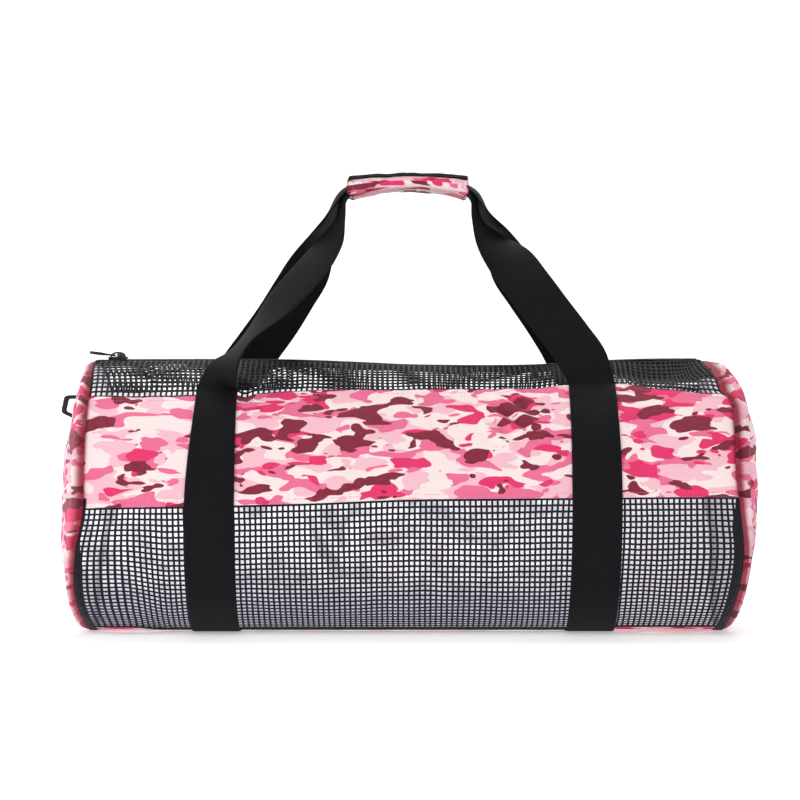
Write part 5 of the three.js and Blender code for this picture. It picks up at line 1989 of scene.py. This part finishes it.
@dataclass
class Ring:
    """The D-ring on the left end and the webbing loop that holds it.

    Attributes:
        middle: The ring's bar, in the bag's own frame.
        tilt: The end panel's slope there, in degrees.
        bar: The length over the bar.
        outer_bar: The length over the far side.
        reach: Over both bars.
        rod: The ring's thickness.
        corner: How far its corners' curves reach.
        tab_width: The loop's width.
        tab_wall: The loop's thickness.
    """

    middle: tuple[float, float, float]
    tilt: float
    bar: float = 29.0
    outer_bar: float = 19.0
    reach: float = 20.0
    rod: float = 4.0
    corner: float = 4.0
    tab_width: float = 19.0
    tab_wall: float = 1.3

    def outline(self, near: float, near_half: float, far: float, far_half: float, corner: float) -> Array:
        """Four sides with rounded corners, each a quadratic curve, anticlockwise seen from +Y towards -Y.

        Args:
            near: The place of the side near the bag.
            near_half: Half that side's length.
            far: The place of the far side.
            far_half: Half its length.
            corner: How far the corners' curves reach.

        Returns:
            The outline's points, by 2.
        """
        spots = np.array([(near, -near_half), (near, near_half), (far, far_half), (far, -far_half)])
        t = np.linspace(0, 1, 9)[:, None]
        points = []
        for i, spot in enumerate(spots):
            before, after = spots[i - 1] - spot, spots[(i + 1) % 4] - spot
            start = spot + before / np.linalg.norm(before) * corner
            finish = spot + after / np.linalg.norm(after) * corner
            points.append((1 - t) ** 2 * start + 2 * t * (1 - t) * spot + t * t * finish)
        return np.concatenate(points)

    def turned(self, points: Array) -> Array:
        """Points of the ring's own frame, tilted with the end panel and put in place."""
        tilt = math.radians(self.tilt)
        x, y, z = points.T
        return np.stack(
            [x * math.cos(tilt) + z * math.sin(tilt), y, z * math.cos(tilt) - x * math.sin(tilt)], -1
        ) + np.array(self.middle)

    def build(self, finishes: dict[str, bpy.types.Material]) -> None:
        """Makes the ring and its loop.

        Args:
            finishes: The finishes by name.
        """
        near = self.rod / 2
        far = near - self.reach
        outer = self.outline(near, self.bar / 2, far, self.outer_bar / 2, self.corner)
        thick = self.rod * 1.35
        inner = self.outline(near - self.rod, self.bar / 2 - thick, far + thick, self.outer_bar / 2 - thick / 2, 2.0)
        ring = eyed_plate(outer, inner, self.rod / 2, 1.1)
        ring.points = self.turned(ring.points[:, [0, 2, 1]] * (1, -1, 1))
        make_piece("d_ring_plastic", ring, finishes["plastic"], ["d_ring"], body="ring", sharp=35)
        loop = self.rod * math.sqrt(0.5) + 0.3 + self.tab_wall
        start = math.asin(self.tab_wall / loop)
        root = loop * math.cos(start) + 2.8
        turn = np.linspace(start, 2 * math.pi - start, 41)
        arc = np.stack([np.cos(turn), np.sin(turn)], -1)
        ahead = np.array([(root, self.tab_wall), (lerp(root, loop, 0.5), self.tab_wall)])
        back = ahead[::-1] * (1, -1)
        z = np.linspace(-self.tab_width / 2, self.tab_width / 2, 9)
        outside = np.concatenate([ahead, arc * loop, back])
        inside = np.concatenate([ahead * (1, 0.02), arc * (loop - self.tab_wall), back * (1, 0.02)])
        faces = [stacked(flat[:, None, 0], flat[:, None, 1], z[None]) for flat in (outside, inside)]
        uv = stacked(z[None] * MM, distances(outside)[:, None] * MM)
        tab = shell(*faces, uv)
        tab.points = self.turned(tab.points)
        make_piece("d_ring_loop", tab, finishes["webbing"], ["d_ring_tab"], sharp=50)


# Seams


@dataclass
class Seams:
    """The stitch lines of the cloth.

    Attributes:
        barrel: The barrel's skin.
        ends: The end panels.
    """

    barrel: Barrel
    ends: EndPanels

    def build(self, finishes: dict[str, bpy.types.Material]) -> None:
        """Makes the hems' stitches on the front and back and the stitches beside the end seams.

        Args:
            finishes: The finishes by name.
        """
        barrel = self.barrel
        rows = []
        share = np.linspace(0.002, 0.998, 600)
        inset = 5.0 / barrel.radius
        lines = [
            (barrel.foot(share) + inset, 0.25),
            (barrel.hem(share) - inset, 0.25),
            (math.pi - barrel.top(share) + inset, 0.25),
            (math.pi - barrel.bottom(share) - inset, 0.1),
        ]
        for angle, lift in lines:
            line = barrel.skin(share, angle, lift)
            normal = np.stack([0 * angle, -np.cos(angle), np.sin(angle)], -1)
            rows.append(thread_row(line, normal, 3.3, 2.5, 0.65, 0.5))
        for end in End:
            turn = np.linspace(0, 2 * math.pi, 900)
            line = self.ends.point(end, turn, np.full_like(turn, 0.915), 0.15)
            side = -1.0 if end is End.LEFT else 1.0
            normal = np.stack([np.full_like(turn, side), -0.9 * np.cos(turn), 0.9 * np.sin(turn)], -1)
            rows.append(thread_row(line, normal, 3.3, 2.5, 0.65, 0.5))
        make_piece("cloth_stitches", Patch.joined(rows), finishes["pink_thread"])


# The studio


@dataclass(frozen=True)
class Lamp:
    """A square soft light that points at the bag's middle.

    Attributes:
        name: Its name.
        place: Where it hangs, in metres.
        power: Its power in watts.
        size: Its side in metres.
    """

    name: str
    place: tuple[float, float, float]
    power: float
    size: float

    def hang(self) -> None:
        """Makes the light."""
        data = bpy.data.lights.new(self.name, "AREA")
        data.energy, data.size = self.power, self.size
        lamp = bpy.data.objects.new(self.name, data)
        lamp.location = self.place
        aim = np.array((0.0, 0.0, 0.2)) - np.array(self.place)
        flat = math.hypot(aim[0], aim[1])
        lamp.rotation_euler = (math.atan2(flat, -aim[2]), 0, math.atan2(-aim[0], aim[1]))
        bpy.context.scene.collection.objects.link(lamp)


@dataclass(frozen=True)
class Studio:
    """A pale floor and backdrop, soft lights and the camera.

    Attributes:
        distance: From the camera to the bag's middle plane, in metres.
        camera_x: The camera's place along the bag.
        camera_height: The camera's height.
        focal_pixels: The focal length in pixels of an image 800 wide.
        lamps: The lights.
    """

    distance: float = 2.6
    camera_x: float = -0.0001
    camera_height: float = 0.244
    focal_pixels: float = 2430.0
    lamps: tuple[Lamp, ...] = (
        Lamp("key", (-2.5, -1.7, 1.7), 46.0, 1.4),
        Lamp("fill", (1.4, -2.6, 1.2), 14.0, 1.8),
        Lamp("top", (0.2, 0.7, 2.4), 32.0, 1.8),
    )

    def camera(self) -> None:
        """Makes the level camera in front of the bag."""
        data = bpy.data.cameras.new("camera")
        data.sensor_width = 36.0
        data.lens = 36.0 * self.focal_pixels / 800
        camera = bpy.data.objects.new("camera", data)
        camera.location = (self.camera_x, -self.distance, self.camera_height)
        camera.rotation_euler = (math.pi / 2, 0, 0)
        bpy.context.scene.collection.objects.link(camera)
        bpy.context.scene.camera = camera

    def floor(self) -> None:
        """Makes the floor, which curves up into the backdrop: a quarter circle between two flats."""
        arc = np.linspace(0, math.pi / 2, 24)
        radius, back = 1.2, 2.4
        y = np.concatenate([[-6.0], back + radius * np.sin(arc), [back + radius]])
        z = np.concatenate([[0.0], radius * (1 - np.cos(arc)), [5.0]]) - 0.0006
        x = np.array((-7.0, 7.0))
        points = stacked(x[:, None], y[None], z[None]).reshape(-1, 3)
        n = len(y)
        j = np.arange(n - 1)
        faces = np.stack([j, n + j, n + j + 1, j + 1], 1)
        mesh = bpy.data.meshes.new("studio_floor")
        mesh.from_pydata(points.tolist(), [], faces.tolist())
        mesh.polygons.foreach_set("use_smooth", np.ones(len(faces), bool))
        material, tree, shader = Finish("pale_floor", (250, 250, 250), 0.9).start()
        tree.feed(shader, Specular_IOR_Level=0.1, Emission_Color=(1.0, 1.0, 1.0, 1.0), Emission_Strength=0.35)
        mesh.materials.append(material)
        floor = bpy.data.objects.new("studio_floor", mesh)
        bpy.context.scene.collection.objects.link(floor)

    def build(self) -> None:
        """Makes the whole studio."""
        self.camera()
        self.floor()
        for lamp in self.lamps:
            lamp.hang()
        world = bpy.data.worlds.new("studio_world")
        world.use_nodes = True
        background = world.node_tree.nodes["Background"]
        background.inputs["Color"].default_value = (1.0, 1.0, 1.0, 1.0)
        background.inputs["Strength"].default_value = 0.5
        bpy.context.scene.world = world
        bpy.context.scene.view_settings.view_transform = "Standard"


def main() -> None:
    """Builds the studio and every piece of the bag in order."""
    logging.basicConfig(level=logging.INFO, format="%(name)s: %(message)s")
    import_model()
    Studio().build()
    for make in (camouflage_group, weave_group, webbing_group):
        make()
    kit = Finishes()
    finishes = {name: getattr(kit, name).make() for name in kit.__dataclass_fields__}
    barrel = Barrel()
    ends = EndPanels(barrel)
    Panels(barrel).build(finishes)
    ends.build()
    Seams(barrel, ends).build(finishes)
    Handles(barrel).build(finishes)
    Zip(barrel).build(finishes)
    Ring(middle=(-359.6162, 50.0, 236.0), tilt=11.5229).build(finishes)


if __name__ == "__main__":
    main()
